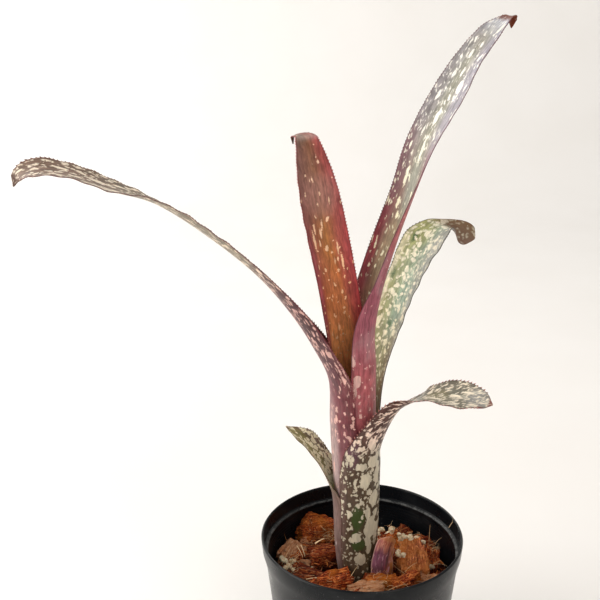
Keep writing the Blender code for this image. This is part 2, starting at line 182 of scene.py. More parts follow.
# Leaves: layer from 0 for the inmost, side of the tube in degrees, wraps in degrees at the
# heights of the tube from the lowest up, none where the leaf stands free of it, and stations of
# the blade: x, y, z of the midrib, width, wrap and roll in degrees.
LEAVES = {
    "leaf_red_centre": {
        "layer": 0,
        "azimuth": 115,
        "wraps": (250, 250, 250, 248, 240, 228, 216, 203, 184, 165),
        "blade": (
            (-10, 7.5, 191.5, 26, 138, -2),
            (-13.5, 7, 221, 22.5, 89, -4),
            (-18.5, 13.5, 248.5, 22, 60, -5),
            (-22.5, 20, 270.5, 19, 44, -13),
            (-26.5, 29, 288.5, 12, 40, -18),
            (-28.5, 39, 291, 8.5, 30, -18),
            (-33.5, 43.5, 290.5, 3.6, 26, -16),
            (-33.8, 44, 286.5, 1.2, 12, -13),
        ),
    },
    "leaf_tall_right": {
        "layer": 1,
        "azimuth": 8,
        "wraps": (254, 254, 254, 252, 246, 240, 234, 230, 224, 218, 212),
        "blade": (
            (5, 3, 201, 38.5, 198, 4),
            (8.5, 10.5, 220.5, 27.5, 178, 19),
            (15.5, 17, 242.5, 26, 131, 18),
            (24, 24, 265.5, 25.5, 91, 19),
            (31.5, 31, 287.5, 25, 59, 27),
            (43, 38, 308, 24.5, 49, 33),
            (53.5, 44, 326, 19.5, 40, 35),
            (65.5, 49, 341, 13.5, 30, 41),
            (71.5, 52.5, 345.3, 9, 40, 35),
            (75.6, 54.5, 347, 6, 40, 27),
            (76, 55.5, 341.5, 2, 10, 19),
        ),
    },
    "leaf_long_left": {
        "layer": 2,
        "azimuth": 188,
        "wraps": (252, 252, 252, 250, 246, 230, 210, 190, 172),
        "blade": (
            (-17, -3.5, 177.5, 34.5, 130, 1),
            (-25, -7, 196.5, 30, 110, 4),
            (-35.5, -10, 214.5, 25.5, 80, 11),
            (-50, -14, 233.5, 21.5, 57, 11),
            (-70.5, -18, 252.5, 20, 46, 16),
            (-93, -22, 269, 19, 39, 15),
            (-113.5, -26, 277.5, 19.5, 36, -1),
            (-132, -29, 285, 17.5, 38, -7),
            (-144.5, -30.5, 286.5, 14.5, 34, -20),
            (-151, -31.5, 284, 8.5, 24, -28),
            (-153, -32, 279.5, 2, 9, -33),
        ),
    },
    "leaf_green_right": {
        "layer": 3,
        "azimuth": 52,
        "wraps": (108, 108, 108, 108, 108, 104, 98, 92),
        "blade": (
            (7.5, 14, 173, 23, 101, -13),
            (14.5, 20, 197.5, 22, 80, -10),
            (24.5, 27, 222, 23.5, 60, -12),
            (34, 33, 239, 25.5, 49, -9),
            (41, 38, 244, 19, 43, -12),
            (47, 41.6, 243.2, 12.5, 44, 4),
            (52, 43.4, 240.6, 12.5, 40, 48),
            (56.6, 44.1, 238.6, 11.5, 36, 66),
            (60.6, 44.6, 236.2, 5.5, 30, 72),
        ),
    },
    "leaf_low_right": {
        "layer": 4,
        "azimuth": -34,
        "wraps": (194, 194, 192, 192, 190, 188, 182, 158),
        "blade": (
            (10.5, -9.5, 154.5, 24, 97, -7),
            (16, -10.5, 164, 17.5, 83, -8),
            (22.5, -12, 168.5, 16, 58, 1),
            (30, -16, 173, 17.5, 49, 18),
            (42, -20, 175, 19.5, 49, 36),
            (51, -23.5, 174.8, 14.5, 52, 42),
            (56, -25.5, 174, 8.5, 50, 42),
            (58.8, -26.7, 173.4, 2, 20, 41),
        ),
    },
    "leaf_low_left": {
        "layer": 3,
        "azimuth": 172,
        "wraps": (138, 138, 138, 138, 132),
        "blade": (
            (-15.5, 4, 116.5, 22, 84, -12),
            (-21, 7, 128, 19.5, 60, -12),
            (-30.5, 11, 139.5, 16.5, 50, -15),
            (-39, 15, 144, 2, 20, -12),
        ),
    },
    "leaf_basal_scale": {
        "layer": 5,
        "azimuth": -75,
        "wraps": (),
        "blade": (
            (10.6, -10.4, 60, 12, 90, 0),
            (10.7, -10.8, 70, 13, 90, 0),
            (11.1, -11.4, 80, 13, 92, 2),
            (12, -11.8, 86, 12.5, 92, 4),
            (13.2, -11.2, 90, 12, 88, 6),
            (14.4, -10.4, 93.4, 9, 74, 8),
        ),
    },
}

# What each leaf shows. Colours across the leaf run from its left margin to its right one, low
# on the leaf and high on it, and rise is where low gives way to high, in mm from its base.
# Pale is the colour of spots low and high. Washes are soft patches of colour: face, x, y, half
# width, half length, colour, strength; most are pigment, and some are painted light, painted
# shade or painted reflection, as their comments say. Spots are layers of pale cells: kind,
# face, spacing, length over width, lean in degrees, smallest and largest radius over spacing,
# how many stay at the left and at the right margin, and stops of (mm from the base, share of
# places filled). In a net the cells touch, and the radii are half the dark threads between
# them. Soft is half the width in mm over which a spot fades out. Edge and tip are (colour, mm,
# share), bloom is (colour, inner, outer), thorns are (start, every how many rows, height, end
# before the tip), and wave is (start, height).
PAINT = {
    "leaf_red_centre": {
        "slot": "leaf_red",
        "rise": (150, 225),
        # The middle low colour is partly pigment and partly brightened to stand in for light in the shaded
        # throat.
        "inner_low": ("#9A4446", "#CC8438", "#B03A3C"),
        "inner_high": ("#7C564E", "#805640", "#924848"),
        "outer_low": ("#7A4448", "#6E3A34"),
        "outer_high": ("#7E4A44", "#7A4440"),
        "pale": ("#FFD0A0", "#F0CBAE"),
        "pale_outer": ("#D8B0A0", "#D8B0A0"),
        "washes": (
            # Painted light: bright orange glow low on the inner face, in place of light shining through the
            # leaf into the shaded throat.
            ("inner", -1, 124, 10, 50, "#FFB070", 0.97),
            ("inner", -1, 158, 7, 26, "#AC5E3C", 0.7),
            ("inner", 7.5, 170, 5, 42, "#A24C4E", 0.5),
            # Painted shadow: dark red low at the right, where the next leaf's rolled margin shades this face.
            ("inner", 9, 122, 4, 22, "#8A2820", 0.55),
            ("inner", -10.5, 150, 3, 50, "#A0525A", 0.7),
            # Painted sheen: greyish mauve haze across the middle of the inner face.
            ("inner", 0, 207, 12, 14, "#A0746C", 0.6),
            ("inner", -4, 243, 5, 14, "#6A5A4A", 0.6),
            ("inner", 6, 230, 4, 14, "#8A3E38", 0.5),
            ("inner", 0, 246, 10, 12, "#92766E", 0.5),
        ),
        "spots": (
            (
                "dot", "inner", 2.6, 3.2, 0, 0.08, 0.16, (1, 0.3),
                ((0, 0), (155, 0.15), (200, 0.35), (225, 0.15), (253, 0)),
            ),
            (
                "dot", "inner", 2.3, 1.3, 0, 0.12, 0.22, (1, 0.6),
                ((0, 0.2), (110, 0.35), (150, 0.3), (200, 0.12), (253, 0.02)),
            ),
            ("dot", "outer", 3.0, 2.0, 0, 0.1, 0.2, (1, 1), ((0, 0.3), (253, 0.3))),
        ),
        "soft": 0.14,
        "edge": ("#64262C", 0.7, 0.6),
        "thorn": "#C87A78",
        "tip": ("#42281E", 4.0, 0.9),
        "bloom": ("#B08E88", 0.06, 0.22),
        "deep": "#4C1216",
        "thorns": (100, 2, 0.6, 3),
        "wave": (170, 0.2),
    },
    "leaf_tall_right": {
        "slot": "leaf_tall",
        "rise": (195, 262),
        "inner_low": ("#76323A", "#847C64", "#7C4850"),
        "inner_high": ("#8E8C8E", "#959489", "#98959F"),
        "outer_low": ("#A85258", "#AC5C62"),
        "outer_high": ("#80505A", "#7A3C52"),
        "pale": ("#ECE6C6", "#EFEDE6"),
        "pale_outer": ("#ECC0B8", "#D8B8B0"),
        "washes": (
            ("inner", -11, 226, 4.6, 28, "#6A4A50", 0.85),
            ("inner", -9, 262, 5, 26, "#7E787C", 0.5),
            ("inner", -1, 250, 4, 50, "#858572", 0.5),
            ("inner", 8, 266, 6, 44, "#918D97", 0.8),
            # Pale blue-grey of the upper blade: partly the leaf's own colour, partly a painted reflection of
            # the pale sky.
            ("inner", 0, 328, 16, 34, "#C6CAD6", 0.9),
            ("inner", 9, 212, 3, 24, "#84485A", 0.7),
            ("inner", 0, 215, 6, 24, "#8E9086", 0.7),
            ("inner", -3, 180, 7, 26, "#8A7858", 0.7),
            ("inner", -11.5, 175, 3.2, 20, "#92303A", 0.6),
            ("inner", -4, 152, 8, 20, "#9A7252", 0.5),
            ("outer", 13, 154, 13, 34, "#844A5E", 0.6),
        ),
        "spots": (
            (
                "dot", "inner", 3.2, 3.4, 8, 0.1, 0.2, (1, 0.4),
                ((0, 0), (150, 0.1), (190, 0.25), (215, 0.45), (300, 0.6), (335, 0.5)),
            ),
            (
                "dot", "inner", 1.8, 3.6, 10, 0.12, 0.24, (1, 0.4),
                ((0, 0.05), (190, 0.3), (230, 0.5), (330, 0.6)),
            ),
            (
                "dot", "inner", 1.1, 3.4, 6, 0.12, 0.24, (1, 0.5),
                ((0, 0.08), (200, 0.2), (240, 0.4), (330, 0.5)),
            ),
            (
                "dot", "outer", 2.4, 1.5, 0, 0.07, 0.16, (1, 1),
                ((0, 0.1), (90, 0.35), (180, 0.3), (340, 0.4)),
            ),
            ("dot", "outer", 7.0, 1.8, 0, 0.06, 0.13, (1, 1), ((0, 0.1), (340, 0.3))),
        ),
        "soft": 0.28,
        "edge": ("#52303A", 0.6, 0.75),
        "thorn": "#6A4044",
        "tip": ("#6A3014", 12.0, 0.95),
        "bloom": ("#C8B0B0", 0.06, 0.24),
        "deep": "#5A3434",
        "thorns": (175, 2, 0.5, 3),
        "wave": (225, 0.08),
    },
    "leaf_long_left": {
        "slot": "leaf_plum",
        "rise": (160, 200),
        "inner_low": ("#6E3A40", "#76605A", "#6A3238"),
        "inner_high": ("#86786A", "#8E8070", "#7C6E5E"),
        "outer_low": ("#6C3038", "#78464E"),
        "outer_high": ("#867C6C", "#7C7060"),
        "pale": ("#E8D4BC", "#F6EAD6"),
        "pale_outer": ("#D4A89E", "#EEDCC4"),
        "washes": (
            ("outer", -9, 150, 10, 50, "#4A262E", 0.9),
            ("outer", -16, 106, 6, 34, "#5A1E26", 0.9),
            # Pale mauve-grey on the left flank of the tube: partly the skin's own colour, partly painted
            # sheen of the window light.
            ("outer", -3, 72, 7, 44, "#A89492", 0.85),
            ("outer", -12, 80, 7, 24, "#7A4A50", 0.6),
            ("outer", -9, 165, 9, 34, "#44272A", 0.8),
            ("inner", 0, 150, 13, 34, "#4E302E", 0.8),
            ("inner", 0, 288, 14, 34, "#7C6558", 0.95),
            ("outer", 0, 288, 14, 34, "#785438", 0.8),
        ),
        "spots": (
            (
                "dot", "inner", 2.6, 2.2, 6, 0.14, 0.32, (1, 1),
                ((0, 0.2), (180, 0.3), (240, 0.6), (300, 0.7)),
            ),
            ("dot", "inner", 1.6, 1.8, 0, 0.14, 0.34, (1, 1), ((0, 0.2), (200, 0.4), (308, 0.75))),
            (
                "dot", "outer", 3.4, 2.8, 0, 0.1, 0.24, (0.8, 1),
                ((0, 0.3), (60, 0.35), (110, 0.3), (150, 0.6), (230, 0.8)),
            ),
            (
                "dot", "outer", 1.7, 2.6, 0, 0.12, 0.26, (0.7, 1),
                ((0, 0.3), (80, 0.3), (112, 0.4), (150, 0.6), (308, 0.5)),
            ),
            (
                "dot", "outer", 1.3, 5.0, 0, 0.14, 0.28, (0.9, 1),
                ((0, 0), (112, 0), (126, 0.6), (190, 0.7), (308, 0.4)),
            ),
        ),
        "soft": 0.28,
        "edge": ("#6A2A32", 0.6, 0.65),
        "thorn": "#3E2222",
        "tip": ("#42261A", 5.0, 0.9),
        "bloom": ("#BCB2AE", 0.05, 0.08),
        "deep": "#4A2028",
        "thorns": (112, 2, 0.8, 3),
        "wave": (190, 0.25),
    },
    "leaf_green_right": {
        "slot": "leaf_green",
        "rise": (112, 165),
        "inner_low": ("#A8A27A", "#8E8C62", "#94806A"),
        "inner_high": ("#A4A874", "#92A68C", "#A2A8A0"),
        "outer_low": ("#8C7C74", "#86787A"),
        "outer_high": ("#848A78", "#82827A"),
        "pale": ("#EEE9C4", "#F4F2DA"),
        "pale_outer": ("#D0CCB0", "#D8D8C0"),
        "washes": (
            ("inner", 10, 165, 4, 60, "#A6ACA4", 0.85),
            ("inner", -11, 150, 3.4, 50, "#E2E0C4", 0.8),
            ("inner", -11, 105, 3.4, 30, "#E4D6C2", 0.8),
            ("inner", 2, 152, 5, 22, "#8EAA98", 0.6),
            ("inner", -4, 190, 8, 12, "#A4A664", 0.6),
            ("inner", 9, 190, 4, 14, "#A6A89E", 0.6),
            ("inner", 5, 104, 4, 12, "#8A6A48", 0.6),
        ),
        "spots": (
            (
                "dot", "inner", 4.2, 1.15, 0, 0.22, 0.38, (1, 0.25),
                ((0, 0.4), (110, 0.4), (150, 0.5), (185, 0.9), (222, 0.4)),
            ),
            (
                "dot", "inner", 2.3, 1.1, 20, 0.2, 0.34, (1, 0.3),
                ((0, 0.6), (110, 0.7), (150, 0.7), (190, 0.95), (227, 0.6)),
            ),
            ("dot", "inner", 1.2, 2.4, 10, 0.14, 0.3, (0.4, 1), ((0, 0.3), (227, 0.45))),
            ("dot", "outer", 2.6, 1.6, 0, 0.2, 0.4, (1, 1), ((0, 0.4), (227, 0.6))),
        ),
        "soft": 0.48,
        "edge": ("#3A3A34", 0.6, 0.85),
        "thorn": "#4A3C34",
        "tip": ("#72503F", 22.0, 0.88),
        "bloom": ("#BEC4BA", 0.1, 0.25),
        "deep": "#4A6842",
        "thorns": (100, 2, 0.55, 25),
        "wave": (125, 0.25),
    },
    "leaf_low_right": {
        "slot": "leaf_banded",
        "rise": (76, 92),
        "inner_low": ("#77735E", "#8A8672", "#78725E"),
        "inner_high": ("#6E6A5E", "#86867A", "#747064"),
        "outer_low": ("#4C3C2E", "#50402F"),
        "outer_high": ("#54392E", "#523430"),
        "pale": ("#EADFC8", "#F0E6D2"),
        "pale_outer": ("#C8BEA8", "#F8DECC"),
        "washes": (
            ("outer", 19.5, 50, 4, 60, "#5E4842", 0.9),
            ("outer", 13.5, 56, 5, 46, "#443126", 0.7),
            ("outer", 15, 81, 5, 9, "#5A3A46", 0.85),
            ("outer", 0, 22, 9, 24, "#5E5A3C", 0.4),
            ("inner", 0, 128, 7, 9, "#8C8258", 0.5),
            ("inner", 0, 148, 9, 8, "#A5A4A2", 0.7),
            ("inner", 7, 151, 3.5, 5, "#8A2C2A", 0.9),
        ),
        "spots": (
            (
                "dot", "outer", 4.6, 1.4, 0, 0.3, 0.46, (0.9, 0),
                ((0, 0.5), (56, 0.6), (66, 0.9), (76, 0.85), (96, 0)),
            ),
            (
                "dot", "outer", 2.4, 1.5, 10, 0.2, 0.38, (0.9, 0.55),
                ((0, 0.4), (58, 0.5), (70, 0.9), (80, 0.85), (96, 0)),
            ),
            (
                "dot", "outer", 1.5, 1.3, 0, 0.16, 0.36, (0.5, 0.6),
                ((0, 0.3), (60, 0.4), (72, 0.7), (92, 0)),
            ),
            (
                "dot", "outer", 1.5, 4.4, 50, 0.26, 0.42, (1, 0.8),
                ((0, 0), (72, 0), (88, 0.9), (155, 0.95)),
            ),
            ("dot", "inner", 1.6, 3.6, 28, 0.2, 0.38, (1, 1), ((0, 0.3), (155, 0.85))),
            ("dot", "inner", 1.0, 3.4, 34, 0.2, 0.4, (1, 1), ((0, 0.4), (155, 0.7))),
        ),
        "soft": 0.26,
        "edge": ("#4A2A26", 0.5, 0.8),
        "thorn": "#B0766E",
        "tip": ("#7A3A34", 2.5, 0.8),
        "bloom": ("#B5AAA0", 0.05, 0.06),
        "deep": "#36471D",
        "thorns": (76, 2, 0.9, 3),
        "wave": (95, 0.3),
    },
    "leaf_low_left": {
        "slot": "leaf_olive",
        "rise": (48, 66),
        "inner_low": ("#8C8262", "#86804C", "#7E6448"),
        "inner_high": ("#8C8450", "#847E48", "#6E5A42"),
        "outer_low": ("#6E5650", "#8E7A78"),
        "outer_high": ("#8A806A", "#7A665A"),
        "pale": ("#E4E0B4", "#EEEAC8"),
        "pale_outer": ("#C4B6B8", "#E2DCC0"),
        "washes": (("inner", 6, 82, 4, 16, "#7A6A66", 0.5), ("inner", -2, 52, 8, 18, "#C4C294", 0.7)),
        "spots": (
            (
                "net", "inner", 2.8, 1.5, 0, 0.03, 0.11, (1, 0.95),
                ((0, 0.3), (40, 1.0), (66, 0.95), (84, 0.6), (104, 0.4)),
            ),
            ("dot", "inner", 2.2, 1.4, 0, 0.3, 0.46, (1, 0.9), ((0, 0.3), (46, 0.8), (104, 0.6))),
            ("dot", "outer", 2.6, 2.4, 0, 0.1, 0.24, (0.2, 1), ((0, 0.2), (60, 0.4), (104, 0.7))),
        ),
        "soft": 0.2,
        "edge": ("#483A2C", 0.5, 0.6),
        "thorn": "#6E5644",
        "tip": ("#5E4634", 3.0, 0.8),
        "bloom": ("#B0A4A0", 0.04, 0.1),
        "deep": "#5E5A34",
        "thorns": (50, 2, 0.6, 3),
        "wave": (62, 0.25),
    },
    "leaf_basal_scale": {
        "slot": "leaf_scale",
        "rise": (22, 30),
        "inner_low": ("#A0683C", "#8A5A50", "#7A4A5E"),
        "inner_high": ("#A86E3E", "#8A5A50", "#7A4A5A"),
        "outer_low": ("#985E30", "#7C424C", "#7A4458"),
        "outer_high": ("#AE7444", "#9A5642", "#A25C4E"),
        "pale": ("#D8B0B4", "#D0A890"),
        "pale_outer": ("#C898A8", "#D8A078"),
        "washes": (
            ("outer", 2.6, 20, 4.6, 8, "#78385A", 0.75),
            # Painted shade: dark streaks in the folds of the scale.
            ("outer", -1.2, 23, 1.0, 10, "#3A1A20", 0.85),
            ("outer", 3.6, 24, 0.7, 6, "#45222C", 0.7),
            ("outer", 1.4, 17, 0.6, 5, "#4A2230", 0.7),
            ("outer", -5, 19, 2.4, 9, "#A06A34", 0.8),
            ("outer", 0.6, 27, 1.6, 4, "#BE7458", 0.6),
            # Painted shade: dark band low on the scale.
            ("outer", 3, 14.5, 5, 3, "#451E2C", 0.7),
        ),
        "spots": (
            ("dot", "outer", 1.6, 4.0, 0, 0.1, 0.26, (1, 1), ((0, 0.2), (36, 0.4))),
            ("dot", "outer", 0.8, 6.0, 0, 0.1, 0.24, (1, 1), ((0, 0.3), (36, 0.6))),
        ),
        "soft": 0.3,
        # Pale pink margin: a painted highlight along the rim of the scale.
        "edge": ("#CFA79C", 0.6, 0.7),
        "thorn": "#9A6A74",
        "tip": ("#B47A48", 3.0, 0.5),
        "bloom": ("#C0A0AC", 0.1, 0.14),
        "deep": "#4A2A3A",
        "thorns": (400, 2, 0.3, 3),
        "wave": (8, 0.6),
    },
}

# Marks that stand out one by one, pale or deep, on the inner and the outer face: x, y, half
# width, half length.
MARKS = {
    "leaf_red_centre": {
        "inner": (
            (2, 196, 1.05, 1.1), (-1, 182, 1.05, 1.2), (-7, 186, 0.6, 4.6), (-5.6, 192, 0.45, 2.4),
            (-2.5, 189, 0.6, 2.2), (-1.2, 193.5, 0.45, 2.2), (-4, 184.5, 0.4, 1.6), (4.6, 181, 0.5, 3.4),
            (5.7, 174, 0.5, 3.6), (1.3, 179.5, 0.6, 0.8), (2, 175, 0.35, 1.4), (-4, 171.5, 0.6, 1.1),
            (3, 170, 0.5, 0.7), (7.4, 163.5, 0.55, 0.6), (0, 163, 0.45, 0.6), (-7.5, 163.5, 0.5, 0.6),
            (3, 159.5, 0.55, 0.8), (3, 151.5, 0.6, 0.7), (-2, 148, 0.5, 0.7), (-1, 142, 0.6, 2.1),
            (-3, 137, 0.8, 0.8), (0.8, 138, 0.6, 0.7), (4.5, 204.5, 0.35, 1.6), (-7, 208.5, 0.35, 1.2),
            (-1.5, 203.5, 0.35, 1), (-1.8, 215.5, 0.4, 1.1), (3, 223.5, 0.35, 0.9),
        ),
    },
    "leaf_tall_right": {
        "inner": (
            (3.5, 268, 1.7, 4.4), (-1, 251, 1.2, 6.4), (-7.5, 262, 1.1, 3.4), (-0.5, 233, 0.9, 7),
            (-5.5, 243, 0.6, 2.8), (-6, 219, 1.1, 5.4), (-1.5, 287, 0.9, 2.4), (4.4, 304, 0.9, 3),
            (6, 285, 0.6, 2.6), (8, 268, 0.6, 2), (-4.5, 275, 0.8, 2.6), (0, 276, 0.6, 3),
            (-9, 235, 0.5, 2), (-6, 205, 0.8, 3.2), (-4, 199, 0.7, 2), (2, 210, 0.6, 2),
            (-10, 172, 0.6, 1), (-6.5, 172, 0.6, 1.2), (-5, 179, 0.6, 1.2), (-10, 181, 0.6, 1),
        ),
        "outer": (
            (17.6, 119, 2.1, 3.0), (18.6, 114, 0.8, 3), (19.5, 130, 1.2, 2.6), (13.5, 116.2, 0.5, 1),
            (16.6, 111.6, 0.6, 1.2), (11.1, 111, 0.5, 0.9), (10.4, 103.8, 0.6, 1), (15.6, 101, 0.7, 1.8),
            (13, 125.8, 0.4, 0.8), (11, 126.3, 0.5, 1),
        ),
    },
    "leaf_long_left": {
        "inner": (
            (-5.4, 266, 1.2, 9), (2, 268, 1.1, 7), (-2, 278, 0.8, 4), (3, 285, 0.9, 3),
            (-5, 287, 0.7, 2), (5, 258, 0.8, 4), (0, 295, 0.7, 2), (-3, 262, 0.6, 4),
            (4, 276, 0.6, 2.4),
        ),
        "outer": (
            (-9, 112.3, 0.9, 0.9), (-12, 104, 0.8, 1.4), (-8.8, 98.7, 0.6, 0.9), (-16.4, 102, 0.9, 1.1),
            (-15.6, 97, 0.8, 1), (-16.4, 95, 0.7, 0.7), (-11.2, 96.5, 0.5, 1.5), (-11.6, 92, 0.7, 1.5),
            (-13.1, 89.9, 0.8, 1), (-8.1, 87.2, 0.6, 1.1), (-6.7, 104.4, 0.6, 1.3),
            (-5.9, 97.8, 0.6, 1.6), (-5.9, 92, 0.6, 1.8), (-14.1, 121.5, 0.8, 2.6),
            (-13.4, 130, 0.5, 1.2), (-15.3, 131, 0.25, 5), (-16, 123, 0.25, 4), (-17.3, 114, 0.25, 5),
            (-12, 137, 0.7, 2.4), (-7.4, 145, 0.9, 2.2), (-9.6, 147.6, 0.5, 1.1),
            (-12.6, 151.4, 0.6, 1.1), (-11.8, 160.6, 0.7, 1.4), (-8, 162.6, 0.8, 1.4),
            (-10.6, 171, 0.7, 1.6), (-9, 188, 1.0, 2.5), (-10.6, 177, 0.7, 1.8), (-6.4, 140, 0.6, 1.6),
            (-10.4, 117, 0.5, 1.6),
        ),
    },
    "leaf_green_right": {
        "inner": (
            (-1, 190, 2, 1.7), (-2, 184, 1.2, 1.2), (-2, 178, 2, 1.2), (-3, 171, 1, 1), (-3, 167, 1.1, 1),
            (-4, 160, 1.9, 1.4), (-3, 155, 1, 1), (1, 157, 0.9, 1), (3, 149, 0.8, 2), (4, 139, 1.5, 1.3),
            (-1, 136, 1, 1.3), (-3, 132, 0.9, 0.9), (1, 132, 0.9, 0.9), (0, 124, 1, 1.3),
            (-7, 140, 1.3, 3.4), (7, 164, 0.9, 1), (9, 170, 0.8, 1), (6, 155, 0.8, 1), (5, 129, 0.8, 1),
            (3, 115, 0.8, 2), (-5, 203, 2.6, 1.6), (2, 200, 2.4, 1.4),
        ),
        "inner_deep": ((-9, 165, 1.5, 5), (-7, 187, 2, 4), (0, 141, 2, 3)),
    },
    "leaf_low_right": {
        "outer": (
            (9, 21, 2.9, 4), (11.5, 34, 2.2, 2.4), (14.6, 33, 1.0, 1.4), (13.6, 24.5, 0.7, 0.8),
            (12, 26.5, 0.4, 0.6), (4.2, 38.5, 3.6, 6.2), (0, 37, 2.6, 3.6), (4.6, 28, 1.8, 4),
            (0, 29, 1.6, 1.5), (2, 55, 3.4, 4.4), (0.8, 46.6, 2.4, 1.8), (2, 44, 1.1, 1.1),
            (6, 47.5, 1.5, 3.8), (9.6, 54.2, 1.3, 1), (11.4, 52.8, 1.3, 1.3), (7.8, 57.2, 0.8, 0.9),
            (9, 46, 0.6, 1.3), (10.2, 43.6, 0.8, 0.8), (15.2, 47.5, 1.6, 2.2), (15.5, 53.6, 0.8, 1.4),
            (13, 59, 1.4, 0.9), (17.7, 60.6, 0.7, 1.7), (19, 57.6, 0.4, 0.9), (7.6, 66.5, 3.1, 4.4),
            (0.6, 66.5, 2, 2.9), (-0.8, 61.2, 1.4, 1.2), (5.6, 59.8, 1.3, 1.4), (13.2, 66, 0.8, 2.2),
            (12.6, 63.4, 1.0, 0.8), (18.6, 66, 0.4, 1.3), (16, 64, 0.4, 0.6), (3.6, 76.6, 2.5, 3),
            (-0.6, 74, 1.9, 1.8), (4.2, 71.6, 1.5, 1.4), (10.4, 74.6, 2.4, 1.7), (10.6, 79.6, 1.9, 0.6),
            (16, 78, 2.4, 0.9), (5.4, 86.4, 2.2, 3.6), (10.4, 83.6, 1.7, 1.4), (15.4, 83, 0.9, 0.9),
            (8.8, 91.4, 2.2, 0.8), (5, 82, 0.8, 0.9), (16, 39, 0.8, 1), (17.2, 36, 0.5, 0.6),
            (16.2, 28.6, 0.6, 0.9), (1.5, 82.5, 0.9, 0.8), (13, 87.5, 0.7, 0.7),
        ),
        "outer_deep": ((11.2, 45, 3.6, 8.6), (10.2, 29.5, 4, 4), (12.4, 36, 2, 3)),
        "inner": (
            (0, 137, 0.9, 2.8), (5, 136, 0.6, 1.6), (-4, 124, 0.9, 1.8), (3, 129, 0.8, 2),
            (-3, 144, 0.6, 1.6),
        ),
    },
    "leaf_low_left": {
        "inner": (
            (2, 80, 0.9, 1.7), (-1, 72, 1, 1.8), (3, 66, 0.9, 1.6), (-2, 60, 1, 1.8), (1, 54, 0.9, 1.6),
        ),
    },
    "leaf_basal_scale": {},
}

# Chips that show: x, y, length, width, height, turn, tilt, lift of one end, roundness, tone from
# soaked to dry.
CHIPS = (
    (-23.5, 34, 20, 17, 17, 12, 8, 0, 0.8, 0.72),
    (-37, 14.5, 15, 13, 9, 66, 28, 0, 0.1, 0.9),
    (-20, 11, 15, 15, 11, 10, -8, 0, 0.25, 0.36),
    (-27, -9, 18, 10, 9, -20, 10, 0, 0.3, 0.3),
    (-15, -18.5, 18, 11, 15, 8, 6, 0, 0.4, 0.5),
    (1, -21.5, 18, 8, 12, 5, 22, 0, 0.15, 0.9),
    (10, -15.6, 18, 9, 11.5, 12, -8, 0, 0.35, 0.76),
    (22, -17, 16, 11, 12, 25, -12, 0, 0.3, 0.66),
    (27, 4, 25, 15, 16, 82, 0, 15, 0.3, 0.82),
    (20, 5, 11, 9, 15, 60, 0, 0, 0.35, 0.3),
    (37, 6, 14, 9, 11, 75, 12, 10, 0.3, 0.5),
    (33, -14, 14, 10, 9, -25, 12, 0, 0.3, 0.88),
    (24, 13, 10, 5, 17, 12, 0, 0, 0.5, 1.0),
    (17, 16, 14, 11, 17, 40, 10, 0, 0.35, 0.62),
    (-31, -3, 11, 8, 6, 100, 8, 0, 0.3, 0.3),
    (-38, 6, 12, 8, 6, 110, 14, 0, 0.3, 0.5),
    (-28, -22, 14, 10, 8, 35, 6, 0, 0.35, 0.5),
    (-14, -32, 15, 11, 8, -10, 6, 0, 0.35, 0.62),
    (3, -35, 14, 10, 8, 5, 4, 0, 0.35, 0.55),
    (18, -31, 13, 10, 8, -20, 12, 0, 0.35, 0.5),
    (30, -27, 12, 9, 8, 130, 8, 0, 0.3, 0.7),
    (41, -9, 11, 8, 7, 10, -14, 0, 0.3, 0.6),
    (9, 29, 13, 10, 7, -10, 8, 0, 0.35, 0.35),
    (25, 33, 12, 9, 6, 35, 6, 0, 0.35, 0.3),
    (36, 24, 11, 9, 6, 20, 6, 0, 0.35, 0.4),
    (-6, 38, 13, 9, 6, 5, 4, 0, 0.35, 0.3),
    (-40, -8, 10, 8, 6, 95, 12, 0, 0.3, 0.6),
)

# Perlite grains that show: x, y, z, size.
GRAINS = (
    (12.4, 21, 78, 3.4),
    (18.4, 20, 78, 4),
    (31.6, 13, 76.5, 3.2),
    (20, -3, 79, 3.6),
    (21.6, -2, 77.5, 2.6),
    (15, 19, 77, 3),
    (-40.6, -0.5, 73, 3.4),
    (-38.2, -3.4, 72, 3.0),
    (-40.6, -5.5, 71.5, 2.4),
    (-36.4, 0.8, 73, 2.6),
    (-42.4, 3, 73, 2.2),
    (-36, -5.6, 71, 2.2),
    (10.6, 16, 78.5, 2.2),
    (21, 13, 79.5, 2.6),
    (27, 14, 78.5, 2.2),
    (34, 9, 78, 2.2),
    (20.6, 2, 84, 2.8),
    (23, 2.6, 84.6, 3.4),
    (25.6, 3.4, 84.4, 2.8),
    (-12, 19, 70, 2.6),
    (37, -3, 70, 2.6),
    (-22, -24, 70, 3.2),
    (11, -28, 70, 3.0),
    (-2, -30, 70, 2.6),
)

# Tangles of fibre: x, y, z, spread, number of fibres.
TANGLES = (
    (-15, 24, 73, 6, 34),
    (37, 8, 72.5, 7, 44),
    (30, 16, 73, 6, 22),
    (-36, -2, 71, 6, 20),
    (8, -20, 73, 8, 26),
    (-18, -20, 72, 8, 22),
)

